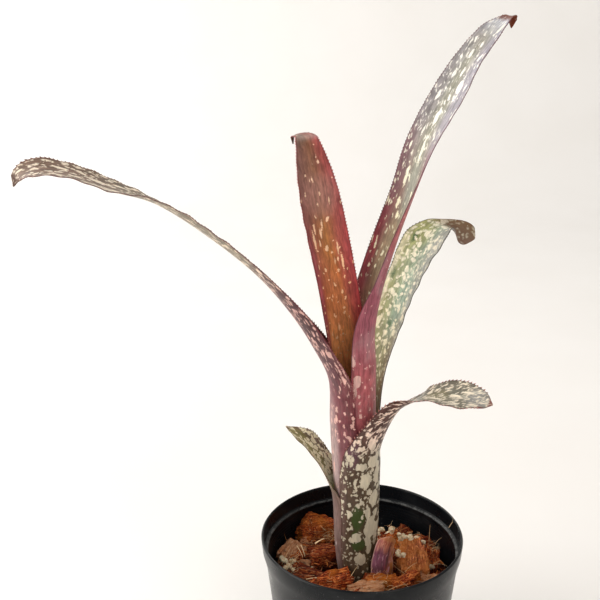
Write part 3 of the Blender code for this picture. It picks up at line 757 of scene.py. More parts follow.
# Hairs and straws that show by themselves: both ends, bow, radius, tone.
STRAWS = (
    (-29.3, -14.5, 71.5, -5.0, -16.6, 73, 1.2, 0.3, 0.95),
    (-9.0, -20.1, 71.5, -2.4, -11.1, 77, 0.8, 0.16, 0.9),
    (-42.0, 0.3, 70.5, -37.2, 9.1, 75, 0.8, 0.2, 0.85),
    (-41.6, 3.0, 70, -40.4, 9.1, 72, 0.5, 0.16, 0.8),
    (-34.0, 11.6, 74.5, -30.8, 6.6, 70.5, 0.6, 0.34, 0.92),
    (-31.8, 12.5, 74.5, -29.7, 7.5, 70.5, 0.5, 0.34, 0.97),
    (-24.2, 9.6, 77, -19.3, 11.3, 79, 0.3, 0.5, 0.97),
    (38.8, 20.1, 71, 39.9, 25.2, 78.5, 0.3, 0.2, 0.7),
    (41.5, 15.5, 72.5, 45.5, 17.7, 75, 0.6, 0.15, 0.8),
    (47.4, 9.0, 86.5, 53.0, 10.5, 93, 0.9, 0.17, 0.9),
    (36.5, -4.3, 71.5, 42.0, -2.0, 73.5, 0.6, 0.17, 0.8),
    (21.8, -12.4, 74, 28.2, -10.4, 78, 0.8, 0.18, 0.7),
    (-11.4, -16.7, 72, -10.5, -19.8, 70, 0.4, 0.14, 0.8),
    (10.0, -27.0, 72, 22.0, -23.0, 74, 0.9, 0.16, 0.8),
)

# Scattered pieces: how many, nearest to the middle of the tube, farthest from the pot's middle.
SMALL_CHIPS = (110, 14.5, 43.5)
SLIVERS = (90, 14.0, 43.0)
SMALL_GRAINS = (20, 14.5, 44.0)
STRANDS = (110, 15.0, 42.0)

# Hairs on the round chip.
FUZZ = 150

# Studio, in metres. Floor: half width, front, where the curve starts, its radius, top.
FLOOR = (3.0, -2.2, 1.1, 0.6, 3.0)
FLOOR_STEPS = 24

# Lights: name, place, size in metres, colour. All point at one place.
LIGHTS = (
    ("window_light", (-1.5, -0.35, 0.75), 1.5, "#FFFAF2"),
    ("back_window_light", (-1.1, 1.0, 1.1), 1.0, "#FFFCF8"),
    ("fill_light", (0.7, -1.4, 1.25), 1.2, "#FFF0E2"),
)
LIGHT_AIM = (-0.01, 0.0, 0.19)

# Camera in mm and degrees, worked out from the rim's ellipse and the horizon.
CAMERA_PLACE = (-31.0, -414.0, 346.5)
CAMERA_LENS = 54.0
CAMERA_PITCH = 17.3
CAMERA_ROLL = -0.57
CAMERA_SENSOR = 36.0


def linear(code):
    """Linear red, green, blue and alpha of an sRGB hex colour."""
    channels = [int(code[place:place + 2], 16) / 255.0 for place in (1, 3, 5)]
    out = [c / 12.92 if c <= 0.04045 else ((c + 0.055) / 1.055) ** 2.4 for c in channels]
    return (*out, 1.0)


class BILLBERGIA_PG_leaves(bpy.types.PropertyGroup):
    """Sizes shared by all leaves."""

    thickness: FloatProperty(
        name="Thickness", description="Leaf thickness at the midrib", default=0.62 * MM, unit="LENGTH"
    )
    row_step: FloatProperty(
        name="Row step", description="Distance of the mesh rows along a leaf", default=0.8 * MM, unit="LENGTH"
    )
    thorn_size: FloatProperty(
        name="Thorn size", description="Factor on the height of every margin thorn", default=1.0
    )
    roughness: FloatProperty(
        name="Roughness", description="Mean roughness of the waxy skin", default=0.38, subtype="FACTOR"
    )


class BILLBERGIA_PG_pot(bpy.types.PropertyGroup):
    """Mesh and finish of the pot."""

    steps: IntProperty(name="Steps", description="Faces round the pot", default=144)
    rim_round: FloatProperty(
        name="Rim rounding", description="Radius of the moulded edges", default=0.35 * MM, unit="LENGTH"
    )
    plastic: FloatVectorProperty(
        name="Plastic", description="Colour of the pot", subtype="COLOR", size=4, default=linear("#070B0F")
    )
    roughness: FloatProperty(
        name="Roughness", description="Roughness of the moulded skin", default=0.28, subtype="FACTOR"
    )


class BILLBERGIA_PG_mix(bpy.types.PropertyGroup):
    """Colours and draw of the husk mix."""

    seed: IntProperty(name="Seed", description="Draw that scatters the small pieces", default=11)
    husk: FloatVectorProperty(
        name="Husk", description="Wet orange-brown husk", subtype="COLOR", size=4, default=linear("#B84A14")
    )
    dark: FloatVectorProperty(
        name="Dark husk", description="Soaked husk", subtype="COLOR", size=4, default=linear("#300C03")
    )
    pale: FloatVectorProperty(
        name="Dry husk", description="Dry husk skin", subtype="COLOR", size=4, default=linear("#E0BA98")
    )
    grain: FloatVectorProperty(
        name="Perlite", description="Perlite grain", subtype="COLOR", size=4, default=linear("#E2D6B8")
    )


class BILLBERGIA_PG_stage(bpy.types.PropertyGroup):
    """Floor and light."""

    floor: FloatVectorProperty(
        name="Floor", description="Painted studio floor", subtype="COLOR", size=4, default=linear("#ECEBE9")
    )
    window_power: FloatProperty(
        name="Window light", description="Large soft light from the left", default=26.0, unit="POWER"
    )
    fill_power: FloatProperty(
        name="Fill light", description="Weak soft light from the front right", default=9.0, unit="POWER"
    )
    sky: FloatProperty(name="Sky", description="Strength of the pale surroundings", default=0.62)


def plug(tree, node, inputs):
    """Set the inputs of a node, or link them where a node or a socket is given.

    Inputs are named, or listed in the node's own order, such as a map range's value, from min,
    from max, to min and to max. A node stands for its first output, a Mix node for its colour.
    """
    for key, value in inputs.items() if isinstance(inputs, dict) else enumerate(inputs):
        if isinstance(value, bpy.types.Node):
            value = value.outputs[MIX_OUT if value.bl_idname == "ShaderNodeMix" else 0]
        if isinstance(value, bpy.types.NodeSocket):
            tree.links.new(value, node.inputs[key])
        else:
            node.inputs[key].default_value = value


def add(tree, kind, inputs=(), stops=(), **settings):
    """Add a node with its settings, its ramp stops and its inputs."""
    node = tree.nodes.new("ShaderNode" + kind)
    for key, value in settings.items():
        setattr(node, key, value)
    if stops:
        elements = node.color_ramp.elements
        while len(elements) < len(stops):
            elements.new(1.0)
        for element, (place, colour) in zip(elements, stops):
            element.position = place
            element.color = colour
    plug(tree, node, inputs)
    return node


def new_material(name, sockets):
    """A material with one Principled shader whose plain sockets are set directly."""
    material = bpy.data.materials.new(name)
    material.use_nodes = True
    tree = material.node_tree
    shader = tree.nodes["Principled BSDF"]
    plug(tree, shader, sockets)
    return material, tree, shader


def link_object(name, mesh):
    """A new object for a mesh, in the scene."""
    piece = bpy.data.objects.new(name, mesh)
    bpy.context.scene.collection.objects.link(piece)
    return piece


def finish_mesh(name, bm, material, sharp=180.0):
    """Turn a bmesh into a smooth object, with edges sharper than an angle in degrees left sharp."""
    mesh = bpy.data.meshes.new(name)
    bm.to_mesh(mesh)
    bm.free()
    mesh.shade_smooth()
    mesh.set_sharp_from_angle(angle=math.radians(sharp))
    mesh.materials.append(material)
    return link_object(name, mesh)


def finish_piece(name, bm, material, replaces, sharp):
    """Make the bmesh a piece of the plant or pot and tie it to the frame."""
    piece = finish_mesh(name, bm, material, sharp)
    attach(piece, BODY)
    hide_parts(replaces)


def spun(profile, steps):
    """Turn a profile of (radius, z) in mm round the z axis, seam and poles closed."""
    bm = bmesh.new()
    verts = [bm.verts.new((r * MM, 0.0, z * MM)) for r, z in profile]
    edges = [bm.edges.new(pair) for pair in zip(verts, verts[1:])]
    bmesh.ops.spin(
        bm,
        geom=verts + edges,
        cent=(0.0, 0.0, 0.0),
        axis=(0.0, 0.0, 1.0),
        angle=math.tau,
        steps=steps,
        use_merge=True,
        use_duplicate=False,
    )
    bmesh.ops.remove_doubles(bm, verts=bm.verts, dist=0.01 * MM)
    bmesh.ops.recalc_face_normals(bm, faces=bm.faces)
    return bm


def cut(bm, cutter):
    """The bmesh with the closed cutter bmesh taken out of it, by an exact Boolean."""
    pair = []
    for part in (bm, cutter):
        mesh = bpy.data.meshes.new("cut_part")
        part.to_mesh(mesh)
        part.free()
        pair.append(link_object("cut_part", mesh))
    body, tool = pair
    boolean = body.modifiers.new("Cut", "BOOLEAN")
    boolean.operation = "DIFFERENCE"
    boolean.solver = "EXACT"
    boolean.object = tool
    bpy.context.view_layer.update()
    shape = bpy.data.meshes.new_from_object(body.evaluated_get(bpy.context.evaluated_depsgraph_get()))
    result = bmesh.new()
    result.from_mesh(shape)
    for part in pair:
        bpy.data.objects.remove(part, do_unlink=True)
    bpy.data.meshes.remove(shape)
    return result


def add_drill(bm, place, radius, depth, steps):
    """Add an upright closed cylinder, centred at a place in mm."""
    bmesh.ops.create_cone(
        bm, cap_ends=True, segments=steps, radius1=radius * MM, radius2=radius * MM,
        depth=depth * MM, matrix=Matrix.Translation(Vector(place) * MM),
    )


def wall_radius(z):
    """Outside radius of the pot wall below the collar, mm."""
    return POT_FOOT_RADIUS + (WALL_TOP_RADIUS - POT_FOOT_RADIUS) * z / COLLAR_Z


def pot_material(settings):
    """Injection-moulded polypropylene: near black, satin, a grey sheen where it faces light.

    The mould leaves a skin of very fine grain, watering leaves faint pale marks, and grit
    settles on the ledge inside the rim. The pale band of grit on the ledge is also a painted
    highlight along the ledge's edge.
    """
    material, tree, shader = new_material("Moulded_polypropylene", {"IOR": 1.49, "Specular IOR Level": 0.2})
    place = add(tree, "TexCoord").outputs["Object"]
    skin, cloud, grit = (
        add(
            tree, "TexNoise",
            {"Vector": place, "Scale": 1.0 / (size * MM), "Detail": detail, "Roughness": roughness},
        )
        for size, detail, roughness in ((SKIN_SIZE, 2.0, 0.5), (CLOUD_SIZE, 4.0, 0.6), (GRIT_SIZE, 3.0, 0.7))
    )
    speck = add(tree, "TexVoronoi", {"Vector": place, "Scale": 1.0 / (SPECK_SIZE * MM)})
    dots = add(tree, "MapRange", (speck, 0.2, 0.1, 0.0, 1.0))
    stain = add(tree, "MapRange", (cloud, 0.52, 0.78, 0.0, 0.5))
    marks = add(tree, "Math", (dots, stain), operation="MULTIPLY")
    pale_marks_and_ledge_highlight = add(tree, "Math", (stain, 0.12, marks), operation="MULTIPLY_ADD")

    height = add(tree, "SeparateXYZ", (place,)).outputs["Z"]
    flat = add(tree, "VectorMath", (place, (1.0, 1.0, 0.0)), operation="MULTIPLY")
    reach = add(tree, "VectorMath", (flat,), operation="LENGTH").outputs["Value"]
    # Pale grey band on the ledge inside the rim: grit, and a painted highlight along the ledge.
    low, high = LEDGE_Z - 0.9, LEDGE_Z + 0.3
    ledge_grit_and_highlight = add(tree, "MapRange", (grit, 0.42, 0.62, 0.1, 0.6))
    for value, none, full in (
        (height, low, low + 0.5), (height, high + 0.5, high), (reach, LEDGE_RADIUS + 1.3, LEDGE_RADIUS + 0.9)
    ):
        part = add(tree, "MapRange", (value, none * MM, full * MM))
        ledge_grit_and_highlight = add(tree, "Math", (part, ledge_grit_and_highlight), operation="MULTIPLY")
    pale_marks_and_ledge_highlight = add(tree, "Math", (pale_marks_and_ledge_highlight, ledge_grit_and_highlight), operation="MAXIMUM")

    plastic, grey = settings.plastic, linear("#6E7070")
    colour = add(tree, "Mix", {0: pale_marks_and_ledge_highlight, MIX_A: plastic, MIX_B: grey}, data_type="RGBA")
    rough = add(tree, "MapRange", (cloud, 0.3, 0.7, settings.roughness - 0.05, settings.roughness + 0.08))
    bump = add(tree, "Bump", {"Strength": 0.15, "Distance": 0.04 * MM, "Height": skin})
    plug(tree, shader, {"Base Color": colour, "Roughness": rough, "Normal": bump})
    return material


class BILLBERGIA_OT_pot(bpy.types.Operator):
    """Turn the nursery pot with its ledge, inner ribs, rounded rim and drain holes"""

    bl_idname = "billbergia.pot"
    bl_label = "Nursery Pot"

    def execute(self, context):
        settings = context.scene.billbergia_pot
        under_ledge = LEDGE_Z - LEDGE_DROP
        foot_inner = DRAIN_RING + 2.0 * DRAIN_RADIUS
        rim_inner = POT_RIM_RADIUS - POT_WALL
        profile = [(0.0, FOOT_LIFT), (0.0, POT_FLOOR), (wall_radius(POT_FLOOR) - POT_WALL, POT_FLOOR)]
        z = RIB_LOW_Z
        while z < under_ledge - RIB_PITCH:
            inside = wall_radius(z) - POT_WALL
            for radius, share in (
                (inside, 0.0), (inside - RIB_HEIGHT, 0.3), (inside - RIB_HEIGHT, 0.5), (inside + 0.05, 0.8)
            ):
                profile.append((radius, z + share * RIB_PITCH))
            z += RIB_PITCH
        profile += [
            (wall_radius(under_ledge) - POT_WALL, under_ledge),
            (LEDGE_RADIUS, LEDGE_Z - 1.2),
            (LEDGE_RADIUS, LEDGE_Z - 0.2),
            (WALL_TOP_RADIUS + COLLAR_STEP - COLLAR_FLARE, LEDGE_Z + 0.4),
            (rim_inner - 0.2, POT_HEIGHT - LIP),
            (rim_inner + 0.3, POT_HEIGHT),
            (POT_RIM_RADIUS - 0.5, POT_HEIGHT),
            (POT_RIM_RADIUS, POT_HEIGHT - 0.7),
            (POT_RIM_RADIUS - COLLAR_FLARE, COLLAR_Z + 2.4),
            (WALL_TOP_RADIUS + 0.6 * COLLAR_STEP, COLLAR_Z - 0.6),
            (wall_radius(COLLAR_LOW_Z), COLLAR_LOW_Z),
            (wall_radius(FOOT_ROUND), FOOT_ROUND),
            (POT_FOOT_RADIUS - 1.0, 0.0),
            (foot_inner, 0.0),
            (foot_inner - 1.0, FOOT_LIFT),
            (0.0, FOOT_LIFT),
        ]
        bm = spun(profile, settings.steps)
        rings = []
        for edge in bm.edges:
            first, second = edge.verts
            level = abs(first.co.z - second.co.z) < 0.001 * MM
            outer = math.hypot(first.co.x, first.co.y) > ROUNDED_FROM * MM
            if level and outer and first.co.z > (under_ledge - 0.1) * MM and len(edge.link_faces) == 2:
                if edge.calc_face_angle() > math.radians(ROUNDED_ANGLE):
                    rings.append(edge)
        bmesh.ops.bevel(
            bm, geom=rings, offset=settings.rim_round, offset_type="OFFSET", segments=3,
            profile=0.5, affect="EDGES", material=-1, clamp_overlap=True,
        )
        drills = bmesh.new()
        for index in range(DRAIN_HOLES):
            angle = math.tau * (index + 0.5) / DRAIN_HOLES
            place = (DRAIN_RING * math.cos(angle), DRAIN_RING * math.sin(angle), 0.0)
            add_drill(drills, place, DRAIN_RADIUS, 4.0 * POT_FLOOR, 40)
        bm = cut(bm, drills)
        finish_piece("nursery_pot_shell", bm, pot_material(settings), "nursery_pot", 32.0)
        return {"FINISHED"}


def husk_material(settings):
    """Cut coconut husk, wet: corky brown pith with long coarse fibres and drier pale skin.

    The fibres run along each chip, about 0.3 mm thick. The grain attribute holds each chip's
    own millimetres with its fibres along x, and tone says how dry the chip is. Hollows low in
    the mix are painted dark, as painted shade between the pieces and as wet husk, more so the
    lower they lie.
    """
    sockets = {"Roughness": 0.82, "IOR": 1.45, "Specular IOR Level": 0.25}
    material, tree, shader = new_material("Cut_coconut_husk", sockets)
    grain = add(tree, "Attribute", attribute_name="grain").outputs["Vector"]
    tone = add(tree, "Attribute", attribute_name="tone").outputs["Fac"]
    fibre_at = add(tree, "Mapping", {"Vector": grain, "Scale": (0.16, 1.5, 1.5)})
    hair_at = add(tree, "Mapping", {"Vector": grain, "Scale": (0.3, 3.6, 3.6)})
    fibre, hair, crumb, warmth = (
        add(
            tree, "TexNoise",
            {"Vector": at, "Scale": scale, "Detail": detail, "Roughness": roughness, "Distortion": twist},
        )
        for at, scale, detail, roughness, twist in (
            (fibre_at, 1.0, 5.0, 0.66, 0.4),
            (hair_at, 1.0, 3.0, 0.5, 0.0),
            (grain, 0.5, 6.0, 0.7, 0.0),
            (grain, 0.09, 2.0, 0.5, 0.0),
        )
    )
    pith = (
        (0.36, settings.dark), (0.45, linear("#7A2404")), (0.54, settings.husk), (0.63, linear("#F8A05A"))
    )
    dry = ((0.3, linear("#8A4A2C")), (0.46, linear("#C8885E")), (0.66, settings.pale))
    pith, dry = (add(tree, "ValToRGB", (fibre,), stops=stops) for stops in (pith, dry))
    sunned = add(tree, "Math", (tone, 0.6, warmth), operation="MULTIPLY_ADD")
    golden = add(tree, "MapRange", (sunned, 0.86, 1.1, 0.0, 0.8))
    dryness = add(tree, "MapRange", (tone, 0.78, 0.93), interpolation_type="SMOOTHSTEP")
    soak = add(tree, "MapRange", (tone, 0.12, 0.5, 0.92, 0.0))
    light = add(tree, "MapRange", (hair, 0.58, 0.7, 0.0, 0.5))
    dry_hair = add(tree, "Math", (light, tone), operation="MULTIPLY")
    level = add(tree, "SeparateXYZ", (add(tree, "TexCoord").outputs["Object"],)).outputs["Z"]
    # Painted shade: hollows low in the mix are darkened, more towards the bottom, for shade between the
    # pieces as well as wet husk.
    wet_and_shade_by_height = add(tree, "MapRange", (level, (MIX_TOP - 1.0) * MM, (MIX_TOP + 7.0) * MM, 0.16, -0.03))
    low = add(tree, "Math", (crumb, wet_and_shade_by_height), operation="SUBTRACT")
    painted_hollow_shade = add(tree, "MapRange", (low, 0.3, 0.47, 0.85, 0.0))
    colour = pith
    for share, over in (
        (golden, linear("#C6701E")),
        (dryness, dry),
        (soak, settings.dark),
        (dry_hair, linear("#F0BE84")),
        (painted_hollow_shade, linear("#330F05")),
    ):
        colour = add(tree, "Mix", {0: share, MIX_A: colour, MIX_B: over}, data_type="RGBA")
    height = add(tree, "Math", (hair, 0.6, fibre), operation="MULTIPLY_ADD")
    height = add(tree, "Math", (crumb, 0.8, height), operation="MULTIPLY_ADD")
    bump = add(tree, "Bump", {"Strength": 1.0, "Distance": 1.3 * MM, "Height": height})
    plug(tree, shader, {"Base Color": colour, "Normal": bump})
    return material


def strand_material():
    """Loose coconut fibre, dry: thin straw-brown hairs, a little lighter on some."""
    sockets = {"Roughness": 0.55, "Specular IOR Level": 0.4}
    material, tree, shader = new_material("Dry_coconut_fibre", sockets)
    tone = add(tree, "Attribute", attribute_name="tone").outputs["Fac"]
    stops = ((0.0, linear("#6E3414")), (0.5, linear("#B9783E")), (1.0, linear("#F2D4A8")))
    plug(tree, shader, {"Base Color": add(tree, "ValToRGB", (tone,), stops=stops)})
    return material


def perlite_material(settings):
    """Perlite, a glassy rock puffed up by heat: chalky off-white, pitted, stained by the husk.

    The pits are about 0.6 mm apart and the stains 2 mm across.
    """
    sockets = {
        "Roughness": 0.75, "Specular IOR Level": 0.4, "Subsurface Weight": 0.15, "Subsurface Scale": 0.6 * MM
    }
    material, tree, shader = new_material("Expanded_perlite", sockets)
    grain = add(tree, "Attribute", attribute_name="grain").outputs["Vector"]
    pits = add(tree, "TexVoronoi", {"Vector": grain, "Scale": 1.6})
    stain = add(tree, "TexNoise", {"Vector": grain, "Scale": 0.5, "Detail": 4.0})
    stained = add(tree, "MapRange", (stain, 0.4, 0.66, 0.0, 0.85))
    pitted = add(tree, "MapRange", (pits, 0.2, 0.05, 0.0, 0.6))
    colour = settings.grain
    for share, code in ((stained, "#B08A62"), (pitted, "#7E6A4E")):
        colour = add(tree, "Mix", {0: share, MIX_A: colour, MIX_B: linear(code)}, data_type="RGBA")
    bump = add(tree, "Bump", {"Strength": 0.9, "Distance": 0.4 * MM, "Height": pits})
    plug(tree, shader, {"Base Color": colour, "Normal": bump})
    return material


def tip_and_turn(tilt, turn):
    """Rotation that tips a piece about x by tilt degrees and turns it by turn degrees."""
    turned_by = Matrix.Rotation(math.radians(turn), 3, "Z")
    return turned_by @ Matrix.Rotation(math.radians(tilt), 3, "X")


def pour(target, bm):
    """Move everything of one bmesh into another one."""
    mesh = bpy.data.meshes.new("poured")
    bm.to_mesh(mesh)
    bm.free()
    target.from_mesh(mesh)
    bpy.data.meshes.remove(mesh)


def add_lump(target, cuts, size, roundness, ragged, turn, place, tone, seed):
    """Carve one chip or grain from a block in its own mm, fibres along x, and add it to the target."""
    bm = mix_bmesh()
    grain = bm.verts.layers.float_vector["grain"]
    dryness = bm.verts.layers.float["tone"]
    bmesh.ops.create_cube(bm, size=1.0)
    bmesh.ops.subdivide_edges(bm, edges=bm.edges[:], cuts=cuts, use_grid_fill=True)
    rng = random.Random(seed)
    offset = Vector((seed * 7.31, seed * 3.17, seed * 5.53))
    taper, wedge, skew, lean = (rng.uniform(-CHIP_SKEW, CHIP_SKEW) * min(ragged, 1.0) for _ in range(4))
    half = Vector(size) * 0.5
    for vert in bm.verts:
        unit = vert.co * 2.0
        unit = unit.lerp(unit.normalized() * BALL_SWELL, roundness)
        co = Vector((unit.x * half.x, unit.y * half.y * (1.0 + taper * unit.x), unit.z * half.z))
        co.z *= 1.0 + wedge * unit.x + skew * unit.y
        co.y += lean * co.x
        ridge = noise.noise(Vector((co.x * 0.1, co.y * 0.75, co.z * 0.75)) + offset)
        lump = noise.fractal(co * 0.2 + offset, 0.8, 2.1, 3)
        end = noise.noise(Vector((0.0, co.y * 0.9, co.z * 0.9)) - offset)
        push = Vector((0.0, co.y, co.z)).normalized() * ridge * RIDGE_DEPTH * ragged
        co += push + unit.normalized() * lump * LUMP_SHARE * min(size)
        co.x += end * abs(unit.x) ** 3 * END_DEPTH * ragged
        vert[grain] = co + offset * 9.0
        vert[dryness] = tone
        vert.co = (turn @ co + Vector(place)) * MM
    pour(target, bm)


def mix_bmesh():
    """An empty bmesh with the layers that the mix materials read."""
    bm = bmesh.new()
    bm.verts.layers.float_vector.new("grain")
    bm.verts.layers.float.new("tone")
    return bm


def keep_inside(bm):
    """Press whatever would reach through the pot wall back inside it."""
    for vert in bm.verts:
        flat = math.hypot(vert.co.x, vert.co.y)
        room = (wall_radius(vert.co.z / MM) - POT_WALL - WALL_CLEAR) * MM
        if flat > room:
            vert.co.x *= room / flat
            vert.co.y *= room / flat


def free_spot(rng, inner, outer):
    """A drawn place on the mix, clear of the leaf tube."""
    while True:
        radius = outer * math.sqrt(rng.random())
        angle = rng.random() * math.tau
        x, y = radius * math.cos(angle), radius * math.sin(angle)
        if math.hypot(x - TUBE_X, y) > inner:
            return x, y


class BILLBERGIA_OT_bark_bed(bpy.types.Operator):
    """Fill the pot with the body of the husk mix, with its hole for the plant's base"""

    bl_idname = "billbergia.bark_bed"
    bl_label = "Husk Bed"

    def execute(self, context):
        settings = context.scene.billbergia_mix
        inset = POT_WALL + MIX_GAP + RIB_HEIGHT
        floor = POT_FLOOR + MIX_GAP
        top = MIX_TOP - BED_DROP
        outer_top = wall_radius(MIX_EDGE_Z) - inset
        profile = [(0.0, top)]
        profile += [(radius, top) for radius in range(2, int(outer_top), 2)]
        profile += [(outer_top, MIX_EDGE_Z - 2.0)]
        height = MIX_EDGE_Z - 4.0
        while height > floor + 2.0:
            profile.append((wall_radius(height) - inset, height))
            height -= 3.0
        profile.append((wall_radius(floor) - inset, floor))
        profile += [(radius, floor) for radius in range(int(wall_radius(floor)) - 3, 1, -3)]
        profile += [(0.0, floor), (0.0, top)]
        bm = spun(profile, 120)
        for vert in bm.verts:
            co = vert.co / MM
            flat = math.hypot(co.x, co.y)
            if co.z > MIX_EDGE_Z - 4.5 and flat < outer_top - 1.0:
                vert.co.z += noise.fractal(co * 0.16, 0.7, 2.1, 4) * BED_BUMP * MM
            elif co.z > floor + 1.0:
                inward = 0.5 * abs(noise.noise(co * 0.2)) + 0.15
                vert.co.x -= co.x / max(flat, 1.0) * inward * MM
                vert.co.y -= co.y / max(flat, 1.0) * inward * MM
        hole = bmesh.new()
        depth = POT_HEIGHT - HOLE_FLOOR
        add_drill(hole, (TUBE_X, 0.0, HOLE_FLOOR + depth / 2), HOLE_RADIUS, depth, 64)
        bm = cut(bm, hole)
        slot = bmesh.new()
        turn = Matrix.Rotation(math.radians(SCALE_SLOT_TURN), 4, "Z")
        size = Matrix.Diagonal((*[s * MM for s in SCALE_SLOT_SIZE], 1.0))
        place = Matrix.Translation(Vector(SCALE_SLOT_PLACE) * MM)
        bmesh.ops.create_cube(slot, size=1.0, matrix=place @ turn @ size)
        bm = cut(bm, slot)
        grain = bm.verts.layers.float_vector.new("grain")
        tone = bm.verts.layers.float.new("tone")
        for vert in bm.verts:
            vert[grain] = vert.co / MM
            vert[tone] = BED_TONE
        finish_piece("husk_bed", bm, husk_material(settings), "bark_mix", 60.0)
        return {"FINISHED"}


def chip_middle(chip):
    """Middle of a chip that lies sunk into the mix by its share of height, in mm."""
    x, y, _, _, height = chip[:5]
    return Vector((x, y, MIX_TOP - 1.0 + height * (0.5 - CHIP_SINK)))


class BILLBERGIA_OT_chips(bpy.types.Operator):
    """Lay the husk chips, small chips and slivers on the bed"""

    bl_idname = "billbergia.chips"
    bl_label = "Husk Chips"

    def execute(self, context):
        settings = context.scene.billbergia_mix
        rng = random.Random(settings.seed)
        bm = mix_bmesh()
        for index, chip in enumerate(CHIPS):
            size, (turn, tilt, lift, roundness, tone) = chip[2:5], chip[5:]
            pose = tip_and_turn(tilt, turn) @ Matrix.Rotation(math.radians(-lift), 3, "Y")
            add_lump(bm, 12, size, roundness, 1.0, pose, chip_middle(chip), tone, index + 1)
        count, nearest, farthest = SMALL_CHIPS
        for index in range(count):
            x, y = free_spot(rng, nearest, farthest)
            length = rng.uniform(3.0, 8.0)
            size = (length, length * rng.uniform(0.4, 0.8), length * rng.uniform(0.3, 0.6))
            place = (x, y, MIX_TOP - 1.5 + rng.uniform(-1.0, 4.0))
            turn = tip_and_turn(rng.uniform(-35, 35), rng.uniform(0, 360))
            add_lump(bm, 4, size, 0.3, 0.8, turn, place, rng.uniform(0.3, 0.92), index + 40)
        count, nearest, farthest = SLIVERS
        for index in range(count):
            x, y = free_spot(rng, nearest, farthest)
            size = (rng.uniform(3.0, 9.0), rng.uniform(0.4, 1.0), rng.uniform(0.3, 0.6))
            place = (x, y, MIX_TOP + rng.uniform(0.5, 6.0))
            turn = tip_and_turn(rng.uniform(-20, 20), rng.uniform(0, 360))
            turn = turn @ Matrix.Rotation(rng.uniform(-0.5, 0.5), 3, "Y")
            add_lump(bm, 2, size, 0.25, 0.2, turn, place, rng.uniform(0.5, 1.0), index + 180)
        keep_inside(bm)
        finish_piece("husk_chips", bm, husk_material(settings), "bark_mix", 60.0)
        return {"FINISHED"}


class BILLBERGIA_OT_perlite(bpy.types.Operator):
    """Scatter the perlite grains, each a cluster of puffed lumps, between the chips"""

    bl_idname = "billbergia.perlite"
    bl_label = "Perlite Grains"

    def execute(self, context):
        settings = context.scene.billbergia_mix
        rng = random.Random(settings.seed + 1)
        bm = mix_bmesh()
        places = list(GRAINS)
        count, nearest, farthest = SMALL_GRAINS
        for _ in range(count):
            x, y = free_spot(rng, nearest, farthest)
            places.append((x, y, MIX_TOP + rng.uniform(0.0, 4.5), rng.uniform(1.0, 2.2)))
        for index, (x, y, z, size) in enumerate(places):
            for part in range(3):
                away = Vector([rng.uniform(-0.3, 0.3) * size for _ in range(3)])
                sizes = [size * rng.uniform(0.45, 0.8) for _ in range(3)]
                turn = tip_and_turn(rng.uniform(-40, 40), rng.uniform(0, 360))
                place = Vector((x, y, z)) + away
                add_lump(bm, 5, sizes, 0.45, 0.35, turn, place, 0.5, 3 * index + part + 300)
        keep_inside(bm)
        finish_piece("perlite_grains", bm, perlite_material(settings), "bark_mix", 50.0)
        return {"FINISHED"}


def strand_blank(steps):
    """A closed five-sided rod of unit radius with one ring at each whole height."""
    bm = bmesh.new()
    bm.verts.layers.float.new("tone")
    face = bmesh.ops.create_circle(bm, cap_ends=True, segments=5, radius=1.0)["verts"][0].link_faces[0]
    bottom = bmesh.ops.duplicate(bm, geom=[face])["geom"]
    for _ in range(steps):
        face = bmesh.ops.extrude_discrete_faces(bm, faces=[face])["faces"][0]
        bmesh.ops.translate(bm, verts=face.verts, vec=(0.0, 0.0, 1.0))
    bmesh.ops.reverse_faces(bm, faces=[item for item in bottom if isinstance(item, bmesh.types.BMFace)])
    bmesh.ops.remove_doubles(bm, verts=bm.verts, dist=0.01)
    bmesh.ops.recalc_face_normals(bm, faces=bm.faces)
    return bm


def add_strand(target, blank, points, radius, tone):
    """Lay a copy of the blank rod along points in mm, thinner to its end."""
    bm = blank.copy()
    layer = bm.verts.layers.float["tone"]
    last = len(points) - 1
    for vert in bm.verts:
        index = round(vert.co.z)
        way = (points[min(index + 1, last)] - points[max(index - 1, 0)]).normalized()
        side = way.orthogonal().normalized()
        thick = radius * (1.0 - STRAND_TAPER * index / last)
        away = (side * vert.co.x + way.cross(side) * vert.co.y) * thick
        vert[layer] = tone
        vert.co = (points[index] + away) * MM
    pour(target, bm)


def wander(start, heading, rise, length, curl, steps):
    """Points of a loose hair that curls as it goes and stays inside the pot."""
    points = [Vector(start)]
    for step in range(steps):
        angle = math.radians(heading) + curl * step / steps
        lift = math.radians(rise) * (1.0 - 0.9 * step / steps)
        way = Vector((math.cos(angle) * math.cos(lift), math.sin(angle) * math.cos(lift), math.sin(lift)))
        spot = points[-1] + way * length / steps
        room = wall_radius(spot.z) - POT_WALL - STRAND_CLEAR
        flat = math.hypot(spot.x, spot.y)
        if flat > room:
            spot.x *= room / flat
            spot.y *= room / flat
        points.append(spot)
    return points


